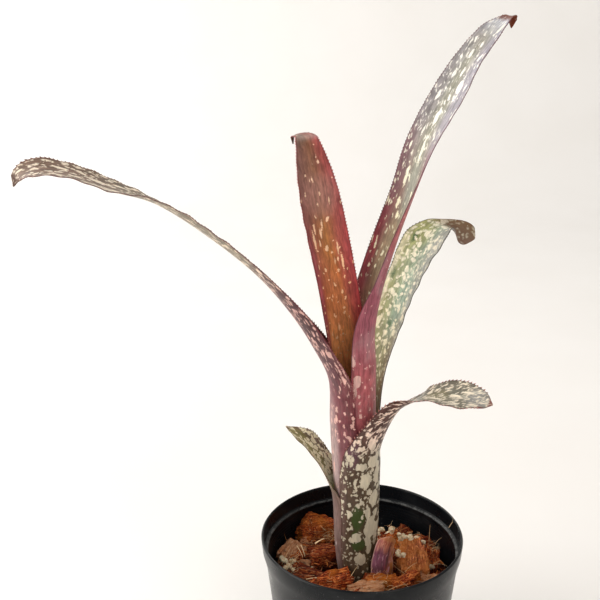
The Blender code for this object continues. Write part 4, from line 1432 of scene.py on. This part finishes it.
class BILLBERGIA_OT_strands(bpy.types.Operator):
    """Lay straws, loose fibres, tangles and the fuzz of the round chip over the mix"""

    bl_idname = "billbergia.strands"
    bl_label = "Husk Fibres"

    def execute(self, context):
        settings = context.scene.billbergia_mix
        rng = random.Random(settings.seed + 2)
        bm = bmesh.new()
        bm.verts.layers.float.new("tone")
        blank = strand_blank(STRAND_STEPS)
        for x, y, z, end_x, end_y, end_z, bow, radius, tone in STRAWS:
            start, end = Vector((x, y, z)), Vector((end_x, end_y, end_z))
            shares = [step / STRAND_STEPS for step in range(STRAND_STEPS + 1)]
            points = [
                start.lerp(end, share) + Vector((0, 0, 4 * bow * share * (1 - share))) for share in shares
            ]
            add_strand(bm, blank, points, radius, tone)
        count, nearest, farthest = STRANDS
        loose = []
        for _ in range(count):
            x, y = free_spot(rng, nearest, farthest)
            loose.append((x, y, MIX_TOP + rng.uniform(3.0, 7.5), 4, 11, 1.5))
        for x, y, z, spread, count in TANGLES:
            for _ in range(count):
                place = [middle + rng.gauss(0, spread / 2.2) for middle in (x, y)]
                loose.append((*place, z + rng.uniform(-2.0, 3.0), 3, 8, 3.0))
        for x, y, z, shortest, longest, most in loose:
            points = wander(
                (x, y, z), rng.uniform(0, 360), rng.uniform(-10, 40), rng.uniform(shortest, longest),
                rng.uniform(-most, most), STRAND_STEPS,
            )
            add_strand(bm, blank, points, rng.uniform(0.06, 0.13), rng.uniform(0.2, 1.0))
        blank.free()
        short = strand_blank(FUZZ_STEPS)
        length, width, height = CHIPS[0][2:5]
        middle = chip_middle(CHIPS[0])
        for _ in range(FUZZ):
            way = Vector((rng.gauss(0, 1), rng.gauss(0, 1), abs(rng.gauss(0, 1)) - 0.2)).normalized()
            start = middle + Vector((way.x * length, way.y * width, way.z * height)) * 0.46
            bend_to = (way + Vector([rng.uniform(-0.5, 0.5) for _ in range(3)])).normalized()
            reach = rng.uniform(0.8, 3.4)
            points = []
            for step in range(FUZZ_STEPS + 1):
                share = step / FUZZ_STEPS
                points.append(start + way.lerp(bend_to, share) * reach * share)
            add_strand(bm, short, points, rng.uniform(0.05, 0.09), rng.uniform(0.4, 1.0))
        short.free()
        keep_inside(bm)
        finish_piece("husk_fibres", bm, strand_material(), "bark_mix", 80.0)
        return {"FINISHED"}


def stem_material():
    """Stem tissue under the leaf bases: pale and fibrous, in rings of about 1 mm."""
    sockets = {"Roughness": 0.6, "Subsurface Weight": 0.1, "Subsurface Scale": 1.0 * MM}
    material, tree, shader = new_material("Pale_stem_tissue", sockets)
    place = add(tree, "TexCoord").outputs["Object"]
    rings = add(tree, "Mapping", {"Vector": place, "Scale": (120.0, 120.0, 900.0)})
    tissue = add(tree, "TexNoise", {"Vector": rings, "Scale": 1.0, "Detail": 4.0})
    stops = ((0.3, linear("#7A5A38")), (0.6, linear("#B8A87A")))
    colour = add(tree, "ValToRGB", (tissue,), stops=stops)
    bump = add(tree, "Bump", {"Strength": 0.4, "Distance": 0.3 * MM, "Height": tissue})
    plug(tree, shader, {"Base Color": colour, "Normal": bump})
    return material


class BILLBERGIA_OT_stem(bpy.types.Operator):
    """Give the hidden short stem its tissue"""

    bl_idname = "billbergia.stem"
    bl_label = "Short Stem"

    def execute(self, context):
        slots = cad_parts["short_stem"].material_slots
        if not slots:
            raise RuntimeError("short_stem has no material slot")
        material = stem_material()
        for entry in slots:
            entry.link = "OBJECT"
            entry.material = material
        return {"FINISHED"}


def smooth_curve(points, at):
    """Values at distance `at` of a smooth curve through (distance, values) points."""
    last = len(points) - 1
    index = 0
    while index < last - 1 and at > points[index + 1][0]:
        index += 1
    (s0, v0), (s1, v1) = points[index], points[index + 1]
    before = points[max(index - 1, 0)]
    after = points[min(index + 2, last)]
    span = s1 - s0
    t = (at - s0) / span
    blend = (
        2 * t**3 - 3 * t**2 + 1,
        (t**3 - 2 * t**2 + t) * span,
        3 * t**2 - 2 * t**3,
        (t**3 - t**2) * span,
    )
    values = []
    for k in range(len(v0)):
        slope0 = (v1[k] - before[1][k]) / (s1 - before[0])
        slope1 = (after[1][k] - v0[k]) / (after[0] - s0)
        parts = (v0[k], slope0, v1[k], slope1)
        values.append(sum(a * b for a, b in zip(blend, parts)))
    return values


def leaf_points(leaf):
    """Stations of a leaf as (distance along the midrib, values)."""
    angle = math.radians(leaf["azimuth"])
    stations = []
    for (z, middle, inmost), wrap in zip(TUBE, leaf["wraps"]):
        radius = inmost + LAYER_PITCH * leaf["layer"]
        x = middle + radius * math.cos(angle)
        y = radius * math.sin(angle)
        stations.append((x, y, z, radius * math.radians(wrap), wrap, 0.0))
    stations += leaf["blade"]
    points = []
    distance = 0.0
    for index, station in enumerate(stations):
        if index:
            step = Vector(station[:3]) - Vector(stations[index - 1][:3])
            distance += step.length
        points.append((distance, station))
    return points


def midrib_frames(points, rows, azimuth):
    """Place, half width, curl, inner normal and sideways direction of the leaf at each row."""
    normal = Vector((-math.cos(azimuth), -math.sin(azimuth), 0.0))
    frames = []
    for row in rows:
        low = Vector(smooth_curve(points, max(row - SLOPE_STEP, 0.0))[:3])
        high = Vector(smooth_curve(points, min(row + SLOPE_STEP, points[-1][0]))[:3])
        tangent = (high - low).normalized()
        normal = (normal - tangent * normal.dot(tangent)).normalized()
        x, y, z, width, wrap, roll = smooth_curve(points, row)
        side = tangent.cross(normal)
        roll = math.radians(roll)
        leaf_normal = normal * math.cos(roll) + side * math.sin(roll)
        leaf_side = side * math.cos(roll) - normal * math.sin(roll)
        width = max(width, LEAST_WIDTH)
        curl = math.radians(max(wrap, LEAST_WRAP)) / width
        left = rows[-1] - row
        taper = 1.0
        if left <= TIP_TAPER:
            taper = TIP_BLUNT + (1.0 - TIP_BLUNT) * math.sqrt(left / TIP_TAPER)
        frames.append((Vector((x, y, z)), width * taper / 2, curl, leaf_normal, leaf_side))
    return frames


def row_of(rows, y):
    """Index of the mesh row at or below a distance, and the share of the way to the next."""
    index = min(max(bisect.bisect_right(rows, y + 0.001) - 1, 0), len(rows) - 2)
    return index, (y - rows[index]) / (rows[index + 1] - rows[index])


def bend(co, rows, frames):
    """Bend a point of the flat blank (across, along, thickness) to its place."""
    index, share = row_of(rows, co.y)
    placed = []
    for middle, half, curl, normal, side in (frames[index], frames[index + 1]):
        turn = co.x * curl
        surface = normal * math.cos(turn) - side * math.sin(turn)
        place = middle + normal * ((1.0 - math.cos(turn)) / curl) + side * (math.sin(turn) / curl)
        placed.append(place + surface * co.z)
    return placed[0].lerp(placed[1], share)


def add_thorns(bm, rows, thorns, factor, seed):
    """Draw a hooked thorn out of every second or third face of both margins."""
    start, every, height, clear = thorns
    rng = random.Random(seed)
    chosen = []
    for face in bm.faces:
        middle = face.calc_center_median()
        if middle.y < start or middle.y > rows[-1] - clear or len(face.verts) != 4:
            continue
        index, _ = row_of(rows, middle.y)
        if index % every == 0 and abs(face.normal.x) > 0.7 and abs(face.normal.z) < 0.3:
            chosen.append(face)
    made = bmesh.ops.extrude_discrete_faces(bm, faces=chosen)
    sizes = {}
    for face in made["faces"]:
        middle = face.calc_center_median()
        fade = min(1.0, (middle.y - start) / 12.0 + 0.35, (rows[-1] - middle.y) / 14.0 + 0.3)
        size = height * factor * fade * rng.uniform(0.7, 1.15)
        way = math.copysign(1.0, middle.x)
        half_up = Vector((way * size * 0.45, size * 0.3, 0.0))
        for vert in face.verts:
            vert.co = middle + (vert.co - middle) * THORN_NECK + half_up
        sizes[round(middle.y, 2), way] = size
    top = bmesh.ops.poke(bm, faces=made["faces"], offset=0.0, center_mode="MEAN")
    for vert in top["verts"]:
        way = math.copysign(1.0, vert.co.x)
        size = sizes[min(sizes, key=lambda key: abs(key[0] - vert.co.y) + abs(key[1] - way))]
        vert.co += Vector((way * size * 0.5, size * 0.6, 0.0))


def mark_field(marks, rows):
    """For each mesh row, the marks that reach it."""
    reach = [[] for _ in rows]
    for x, y, wide, long in marks:
        margin = FIELD_REACH * long / min(wide, long)
        first = bisect.bisect_left(rows, y - long - margin)
        last = bisect.bisect_right(rows, y + long + margin)
        for index in range(first, min(last, len(rows))):
            reach[index].append((x, y, wide, long))
    return reach


def mark_depth(co, marks):
    """How deep a point lies inside the nearest mark, in mm, negative outside."""
    depth = -FIELD_REACH
    sway = noise.noise_vector(Vector((co.x * 0.45, co.y * 0.3, 3.7)))
    for x, y, wide, long in marks:
        loose = MARK_SWAY * min(wide, 1.5)
        away = math.hypot((co.x + loose * sway.x - x) / wide, (co.y + 1.6 * loose * sway.y - y) / long)
        depth = max(depth, (1.0 - away) * min(wide, long))
    return depth


def wash_at(co, washes):
    """Colour of the soft patches of pigment, painted light and painted shade at a point, and how far they
    cover the ground.
    """
    colour = Vector((0.0, 0.0, 0.0))
    cover = 0.0
    for x, y, wide, long, tint, strength in washes:
        near = max(0.0, 1.0 - ((co.x - x) / wide) ** 2 - ((co.y - y) / long) ** 2)
        share = strength * near * near * (3.0 - 2.0 * near)
        if share > 0.0:
            colour = colour * cover * (1.0 - share) + tint * share
            cover = cover + share - cover * share
            colour /= cover
    return (*colour, cover)


def leaf_wave(co, across, wave, length, seed):
    """How far the margin of a leaf waves out of its plane at a point of the blank, mm."""
    start, height = wave
    if co.y <= start:
        return 0.0
    grow = min((co.y - start) / WAVE_GROW, 1.0) * min((length - co.y) / WAVE_FADE, 1.0)
    sway = math.sin(co.y * WAVE_FINE + seed + (0.0 if across > 0 else 1.7))
    sway += 0.6 * math.sin(co.y * WAVE_LONG + seed)
    return height * grow * sway


def build_leaf(name, settings, seed):
    """One leaf: flat blank, wall, thorns, paint fields, and the bend along its midrib."""
    leaf = LEAVES[name]
    paint = PAINT[name]
    points = leaf_points(leaf)
    length = points[-1][0]
    count = round(length * MM / settings.row_step)
    rows = [length * index / count for index in range(count + 1)]
    frames = midrib_frames(points, rows, math.radians(leaf["azimuth"]))
    bm = bmesh.new()
    flat = bm.verts.layers.float_vector.new("flat")
    share = bm.verts.layers.float_vector.new("share")
    field = bm.verts.layers.float_vector.new("marks")
    wash = bm.verts.layers.float_color.new("wash")
    bmesh.ops.create_grid(bm, x_segments=COLUMNS, y_segments=count, size=1.0)
    for vert in bm.verts:
        row = round((vert.co.y + 1.0) * count / 2)
        vert.co = (vert.co.x * frames[row][1], rows[row], 0.0)
    bmesh.ops.recalc_face_normals(bm, faces=bm.faces)
    bmesh.ops.solidify(bm, geom=bm.faces[:], thickness=settings.thickness / MM)
    heights = [vert.co.z for vert in bm.verts]
    bmesh.ops.translate(bm, verts=bm.verts, vec=(0.0, 0.0, -(min(heights) + max(heights)) / 2))
    bmesh.ops.recalc_face_normals(bm, faces=bm.faces)
    add_thorns(bm, rows, paint["thorns"], settings.thorn_size, seed)
    fields = {key: mark_field(marks, rows) for key, marks in MARKS[name].items()}
    none = mark_field((), rows)
    washes = {"inner": [], "outer": []}
    for side, x, y, wide, long, code, strength in paint["washes"]:
        washes[side].append((x, y, wide, long, Vector(linear(code)[:3]), strength))
    for vert in bm.verts:
        co = vert.co
        index, _ = row_of(rows, co.y)
        half = max(frames[index][1], LEAST_HALF)
        across = co.x / half
        face = 0.5
        if abs(co.z) > FACE_DEPTH:
            face = 1.0 if co.z > 0.0 else 0.0
        where = "inner" if face > 0.5 else "outer"
        vert[flat] = (co.x, co.y, face)
        vert[share] = (across, co.y / length, length - co.y)
        pale = mark_depth(co, fields.get(where, none)[index])
        deep = mark_depth(co, fields.get(where + "_deep", none)[index])
        vert[field] = (pale, deep, half - abs(co.x))
        vert[wash] = wash_at(co, washes[where])
        edge = min(abs(across), 1.0) ** 3
        co.z *= 1.0 - MARGIN_THIN * edge
        co.z += edge * leaf_wave(co, across, paint["wave"], length, seed)
    for vert in bm.verts:
        vert.co = bend(vert.co, rows, frames) * MM
    material = leaf_material(name, paint, length, settings, seed)
    finish_piece(name + "_blade", bm, material, name, 55.0)


def along_stops(stops, length):
    """Ramp stops of grey shares from (mm, share) pairs."""
    return [(min(place / length, 1.0), (value, value, value, 1.0)) for place, value in stops]


def across_stops(colours):
    """Ramp stops of colours spread evenly from the left margin to the right one."""
    last = len(colours) - 1
    return [(0.08 + 0.84 * index / last, linear(code)) for index, code in enumerate(colours)]


def add_spots(tree, place, fill, layer, soft, shift):
    """Share of pale tissue in one layer of spots, or of patches in a dark net."""
    kind, _, spacing, stretch, lean, small, large, _, _ = layer
    cells_at = add(
        tree, "Mapping",
        {
            "Vector": place,
            "Location": shift,
            "Rotation": (0.0, 0.0, math.radians(lean)),
            "Scale": (spacing, spacing * stretch, 1.0),
        },
        vector_type="TEXTURE",
    )
    cells = add(tree, "TexVoronoi", {"Vector": cells_at, "Scale": 1.0}, voronoi_dimensions="2D")
    size_draw, place_draw, _ = add(tree, "SeparateColor", (cells.outputs["Color"],)).outputs
    radius = add(tree, "MapRange", (size_draw, 0.0, 1.0, small, large))
    apart = (radius, cells)
    if kind == "net":
        border = add(
            tree, "TexVoronoi", {"Vector": cells_at, "Scale": 1.0}, voronoi_dimensions="2D",
            feature="DISTANCE_TO_EDGE",
        )
        apart = (border, radius)
    inside = add(tree, "Math", apart, operation="SUBTRACT")
    blur = soft / spacing
    dot = add(tree, "MapRange", (inside, -blur, blur), interpolation_type="SMOOTHSTEP")
    there = add(tree, "Math", (place_draw, fill), operation="LESS_THAN")
    return add(tree, "Math", (dot, there), operation="MULTIPLY")


def leaf_material(name, paint, length, settings, seed):
    """Living bromeliad leaf: satin waxy skin over coloured tissue, spotted with pale cells.

    Spots and blotches are patches without pigment, drawn out along the leaf. Lengthwise veins
    lie about 0.5 mm apart, and fine scales leave a dull grey bloom, most on the outer face.
    The flat attribute holds the leaf's flat millimetres and its face, share holds the place
    across, the place along and the distance from the tip, marks holds the single blotches and
    the distance from the margin, and wash holds soft patches of pigment, with some painted
    light, painted shade and painted sheen among them.
    """
    material, tree, shader = new_material("Bromeliad_leaf_" + name[5:], LEAF_SOCKETS)
    flat, share, field = (
        add(tree, "Attribute", attribute_name=key).outputs["Vector"] for key in ("flat", "share", "marks")
    )
    wash = add(tree, "Attribute", attribute_name="wash")
    _, reach_up, face = add(tree, "SeparateXYZ", (flat,)).outputs
    sideways, along, from_tip = add(tree, "SeparateXYZ", (share,)).outputs
    pale_depth, deep_depth, from_margin = add(tree, "SeparateXYZ", (field,)).outputs
    across = add(tree, "MapRange", (sideways, -1.0, 1.0))

    drift, swell, ragged = (
        add(tree, "TexNoise", {"Vector": flat, "Scale": 1.0 / size, "Detail": detail}, noise_dimensions="2D")
        for size, detail in ((DRIFT_SIZE, 3.0), (SWELL_SIZE, 1.0), (RAGGED_SIZE, 2.0))
    )
    spot_place = flat
    for bulge, reach in ((swell, SWELL_REACH), (ragged, RAGGED_REACH)):
        push = add(tree, "VectorMath", (bulge.outputs["Color"], (0.5, 0.5, 0.5)), operation="SUBTRACT")
        spot_place = add(tree, "VectorMath", (push, reach, spot_place), operation="MULTIPLY_ADD")
    veins, streaks = (
        add(
            tree, "TexNoise",
            {"Vector": add(tree, "Mapping", {"Vector": at, "Scale": scale}), "Scale": 1.0, "Detail": detail},
            noise_dimensions="2D",
        )
        for at, scale, detail in ((flat, (2.2, 0.06, 1.0), 3.0), (spot_place, (0.8, 0.14, 1.0), 4.0))
    )

    rise = add(tree, "MapRange", (reach_up, *paint["rise"]), interpolation_type="SMOOTHSTEP")
    sheets = []
    for side in ("outer", "inner"):
        low, high = (
            add(tree, "ValToRGB", (across,), stops=across_stops(paint[side + level]))
            for level in ("_low", "_high")
        )
        sheets.append(add(tree, "Mix", {0: rise, MIX_A: low, MIX_B: high}, data_type="RGBA"))
    ground = add(tree, "Mix", {0: face, MIX_A: sheets[0], MIX_B: sheets[1]}, data_type="RGBA")
    cover, tint = wash.outputs["Alpha"], wash.outputs["Color"]
    ground = add(tree, "Mix", {0: cover, MIX_A: ground, MIX_B: tint}, data_type="RGBA")
    light = 1.0
    for pattern, least, most in ((veins, 0.82, 1.16), (drift, 0.86, 1.12), (streaks, 0.72, 1.24)):
        shade = add(tree, "MapRange", (pattern, 0.3, 0.7, least, most))
        light = add(tree, "Math", (shade, light), operation="MULTIPLY")
    ground = add(tree, "VectorMath", {0: ground, "Scale": light}, operation="SCALE")
    deep_edge = add(tree, "Math", (ragged, 1.6, deep_depth), operation="MULTIPLY_ADD")
    deep = add(tree, "MapRange", (deep_edge, 0.4, 2.2, 0.0, 0.9), interpolation_type="SMOOTHSTEP")
    ground = add(tree, "Mix", {0: deep, MIX_A: ground, MIX_B: linear(paint["deep"])}, data_type="RGBA")

    flock = add(tree, "MapRange", (drift, 0.35, 0.62, 0.6, 1.2))
    clear_of_deep = add(tree, "MapRange", (deep, 0.1, 0.6, 1.0, 0.2))
    flock = add(tree, "Math", (flock, clear_of_deep), operation="MULTIPLY")
    mark_edge = add(tree, "Math", (ragged, 0.7, pale_depth), operation="MULTIPLY_ADD")
    mark = add(tree, "MapRange", (mark_edge, 0.18, 0.52), interpolation_type="SMOOTHSTEP")
    pale_on = {"inner": mark, "outer": mark}
    for order, layer in enumerate(paint["spots"]):
        side, margins, stops = layer[1], layer[-2], layer[-1]
        fill = add(tree, "ValToRGB", (along,), stops=along_stops(stops, length))
        margin_share = add(tree, "MapRange", (across, 0.0, 1.0, *margins))
        for limit in (flock, margin_share):
            fill = add(tree, "Math", (fill, limit), operation="MULTIPLY")
        shift = (seed * 17.0 + order * 31.0, seed * 23.0, 0.0)
        spots = add_spots(tree, spot_place, fill, layer, paint["soft"], shift)
        pale_on[side] = add(tree, "Math", (pale_on[side], spots), operation="MAXIMUM")
    pale = add(tree, "MapRange", (face, 0.0, 1.0, pale_on["outer"], pale_on["inner"]))
    tints = [
        add(tree, "Mix", {0: rise, MIX_A: linear(low), MIX_B: linear(high)}, data_type="RGBA")
        for low, high in (paint["pale_outer"], paint["pale"])
    ]
    tint = add(tree, "Mix", {0: face, MIX_A: tints[0], MIX_B: tints[1]}, data_type="RGBA")
    mottle = add(tree, "MapRange", (streaks, 0.3, 0.7, 0.82, 1.1))
    tint = add(tree, "VectorMath", {0: tint, "Scale": mottle}, operation="SCALE")
    pale_share = add(tree, "Math", (pale, 0.94), operation="MULTIPLY")

    bloom_code, bloom_inner, bloom_outer = paint["bloom"]
    bloom_at = add(
        tree, "Mapping", {"Vector": flat, "Location": (seed, 3.0, 0.0), "Scale": (0.1, 0.07, 1.0)}
    )
    bands = add(
        tree, "TexNoise", {"Vector": bloom_at, "Scale": 1.0, "Detail": 5.0, "Roughness": 0.6},
        noise_dimensions="2D",
    )
    bloom_most = add(tree, "MapRange", (face, 0.0, 1.0, bloom_outer, bloom_inner))
    edge_code, edge_width, edge_share = paint["edge"]
    tip_code, tip_length, tip_share = paint["tip"]
    tip_edge = add(tree, "Math", (ragged, 0.4 * tip_length, from_tip), operation="MULTIPLY_ADD")
    tip_most = add(tree, "MapRange", (pale, 0.0, 1.0, tip_share, 0.6 * tip_share))
    bloom, rim, tip = (
        add(tree, "MapRange", ranges, interpolation_type="SMOOTHSTEP")
        for ranges in (
            (bands, 0.42, 0.68, 0.02, bloom_most),
            (from_margin, edge_width, 0.2 * edge_width, 0.0, edge_share),
            (tip_edge, 1.3 * tip_length, 0.85 * tip_length, 0.0, tip_most),
        )
    )
    from_middle = add(tree, "Math", (sideways,), operation="ABSOLUTE")
    thorn = add(tree, "MapRange", (from_middle, 1.005, 1.03))
    skin = ground
    for cover, over in (
        (pale_share, tint),
        (bloom, linear(bloom_code)),
        (rim, linear(edge_code)),
        (tip, linear(tip_code)),
        (thorn, linear(paint["thorn"])),
    ):
        skin = add(tree, "Mix", {0: cover, MIX_A: skin, MIX_B: over}, data_type="RGBA")
    rough = add(tree, "MapRange", (bands, 0.35, 0.7, settings.roughness - 0.06, settings.roughness + 0.12))
    height = add(tree, "Math", (pale, 0.35, veins), operation="MULTIPLY_ADD")
    bump = add(tree, "Bump", {"Strength": 0.5, "Distance": 0.18 * MM, "Height": height})
    plug(tree, shader, {"Base Color": skin, "Roughness": rough, "Normal": bump})
    return material


class BILLBERGIA_OT_leaves(bpy.types.Operator):
    """Build all seven leaves with their thorns and spotted skin"""

    bl_idname = "billbergia.leaves"
    bl_label = "Leaves"

    def execute(self, context):
        settings = context.scene.billbergia_leaves
        for seed, name in enumerate(LEAVES):
            build_leaf(name, settings, seed + 1)
        return {"FINISHED"}


def board_material(settings):
    """Board with matt paint: pale and even, with faint clouds where the roller overlapped."""
    material, tree, shader = new_material("Matt_painted_board", {"Roughness": 0.75})
    place = add(tree, "TexCoord").outputs["Object"]
    cloud = add(tree, "TexNoise", {"Vector": place, "Scale": 6.0, "Detail": 3.0})
    inputs = {0: cloud, MIX_A: settings.floor, MIX_B: linear("#F3F3F3")}
    plug(tree, shader, {"Base Color": add(tree, "Mix", inputs, data_type="RGBA")})
    return material


def add_floor(settings):
    """The floor, one sheet that curves up into the back wall."""
    half, front, back, radius, top = FLOOR
    bm = bmesh.new()
    line = [(front, 0.0), (back, 0.0)]
    for step in range(1, FLOOR_STEPS + 1):
        angle = math.pi / 2 * step / FLOOR_STEPS
        line.append((back + radius * math.sin(angle), radius * (1 - math.cos(angle))))
    line.append((back + radius, top))
    verts = [bm.verts.new((-half, y, z)) for y, z in line]
    edges = [bm.edges.new(pair) for pair in zip(verts, verts[1:])]
    made = bmesh.ops.extrude_edge_only(bm, edges=edges)
    moved = [item for item in made["geom"] if isinstance(item, bmesh.types.BMVert)]
    bmesh.ops.translate(bm, verts=moved, vec=(2 * half, 0.0, 0.0))
    bmesh.ops.recalc_face_normals(bm, faces=bm.faces)
    floor = finish_mesh("studio_floor", bm, board_material(settings))


class BILLBERGIA_OT_stage(bpy.types.Operator):
    """Set the pale floor with its curved back, the soft lights and the camera"""

    bl_idname = "billbergia.stage"
    bl_label = "Studio"

    def execute(self, context):
        settings = context.scene.billbergia_stage
        scene = context.scene
        add_floor(settings)
        powers = (settings.window_power, 0.45 * settings.window_power, settings.fill_power)
        for (name, place, size, tint), power in zip(LIGHTS, powers):
            lamp = bpy.data.lights.new(name, "AREA")
            lamp.size = size
            lamp.energy = power
            lamp.color = linear(tint)[:3]
            light = link_object(name, lamp)
            light.location = place
            light.rotation_euler = (Vector(LIGHT_AIM) - Vector(place)).to_track_quat("-Z", "Y").to_euler()

        world = bpy.data.worlds.new("pale_room")
        world.use_nodes = True
        sky = {"Color": linear("#FAF6F1"), "Strength": settings.sky}
        plug(world.node_tree, world.node_tree.nodes["Background"], sky)
        scene.world = world
        scene.view_settings.view_transform = "Standard"

        lens = bpy.data.cameras.new("camera")
        lens.lens = CAMERA_LENS
        lens.sensor_width = CAMERA_SENSOR
        lens.clip_start = 0.01
        camera = link_object("camera", lens)
        camera.location = Vector(CAMERA_PLACE) * MM
        tilt = Matrix.Rotation(math.radians(90.0 - CAMERA_PITCH), 3, "X")
        roll = Matrix.Rotation(math.radians(CAMERA_ROLL), 3, "Z")
        camera.rotation_euler = (tilt @ roll).to_euler()
        scene.camera = camera
        return {"FINISHED"}


class BILLBERGIA_PT_panel(bpy.types.Panel):
    """Sizes, colours and steps of the potted billbergia"""

    bl_idname = "BILLBERGIA_PT_panel"
    bl_label = "Potted Billbergia"
    bl_space_type = "VIEW_3D"
    bl_region_type = "UI"
    bl_category = "Billbergia"

    def draw(self, context):
        layout = self.layout
        for attribute, group in SETTINGS.items():
            box = layout.box()
            for key in group.__annotations__:
                box.prop(getattr(context.scene, attribute), key)
        for operator in OPERATORS:
            layout.operator(operator.bl_idname)


SETTINGS = {
    "billbergia_leaves": BILLBERGIA_PG_leaves,
    "billbergia_pot": BILLBERGIA_PG_pot,
    "billbergia_mix": BILLBERGIA_PG_mix,
    "billbergia_stage": BILLBERGIA_PG_stage,
}
OPERATORS = (
    BILLBERGIA_OT_pot,
    BILLBERGIA_OT_bark_bed,
    BILLBERGIA_OT_chips,
    BILLBERGIA_OT_perlite,
    BILLBERGIA_OT_strands,
    BILLBERGIA_OT_stem,
    BILLBERGIA_OT_leaves,
    BILLBERGIA_OT_stage,
)


def register():
    """Register every class and tie the settings to the scene."""
    for item in (*SETTINGS.values(), *OPERATORS, BILLBERGIA_PT_panel):
        bpy.utils.register_class(item)
    for attribute, group in SETTINGS.items():
        setattr(bpy.types.Scene, attribute, PointerProperty(type=group))


def unregister():
    """Take the settings and the classes out again."""
    for attribute in SETTINGS:
        delattr(bpy.types.Scene, attribute)
    for item in (BILLBERGIA_PT_panel, *reversed(OPERATORS), *reversed(SETTINGS.values())):
        bpy.utils.unregister_class(item)


def main():
    """Build every piece in order."""
    register()
    bpy.ops.billbergia.stage()
    bpy.ops.billbergia.pot()
    bpy.ops.billbergia.bark_bed()
    bpy.ops.billbergia.chips()
    bpy.ops.billbergia.perlite()
    bpy.ops.billbergia.strands()
    bpy.ops.billbergia.stem()
    bpy.ops.billbergia.leaves()


if __name__ == "__main__":
    main()
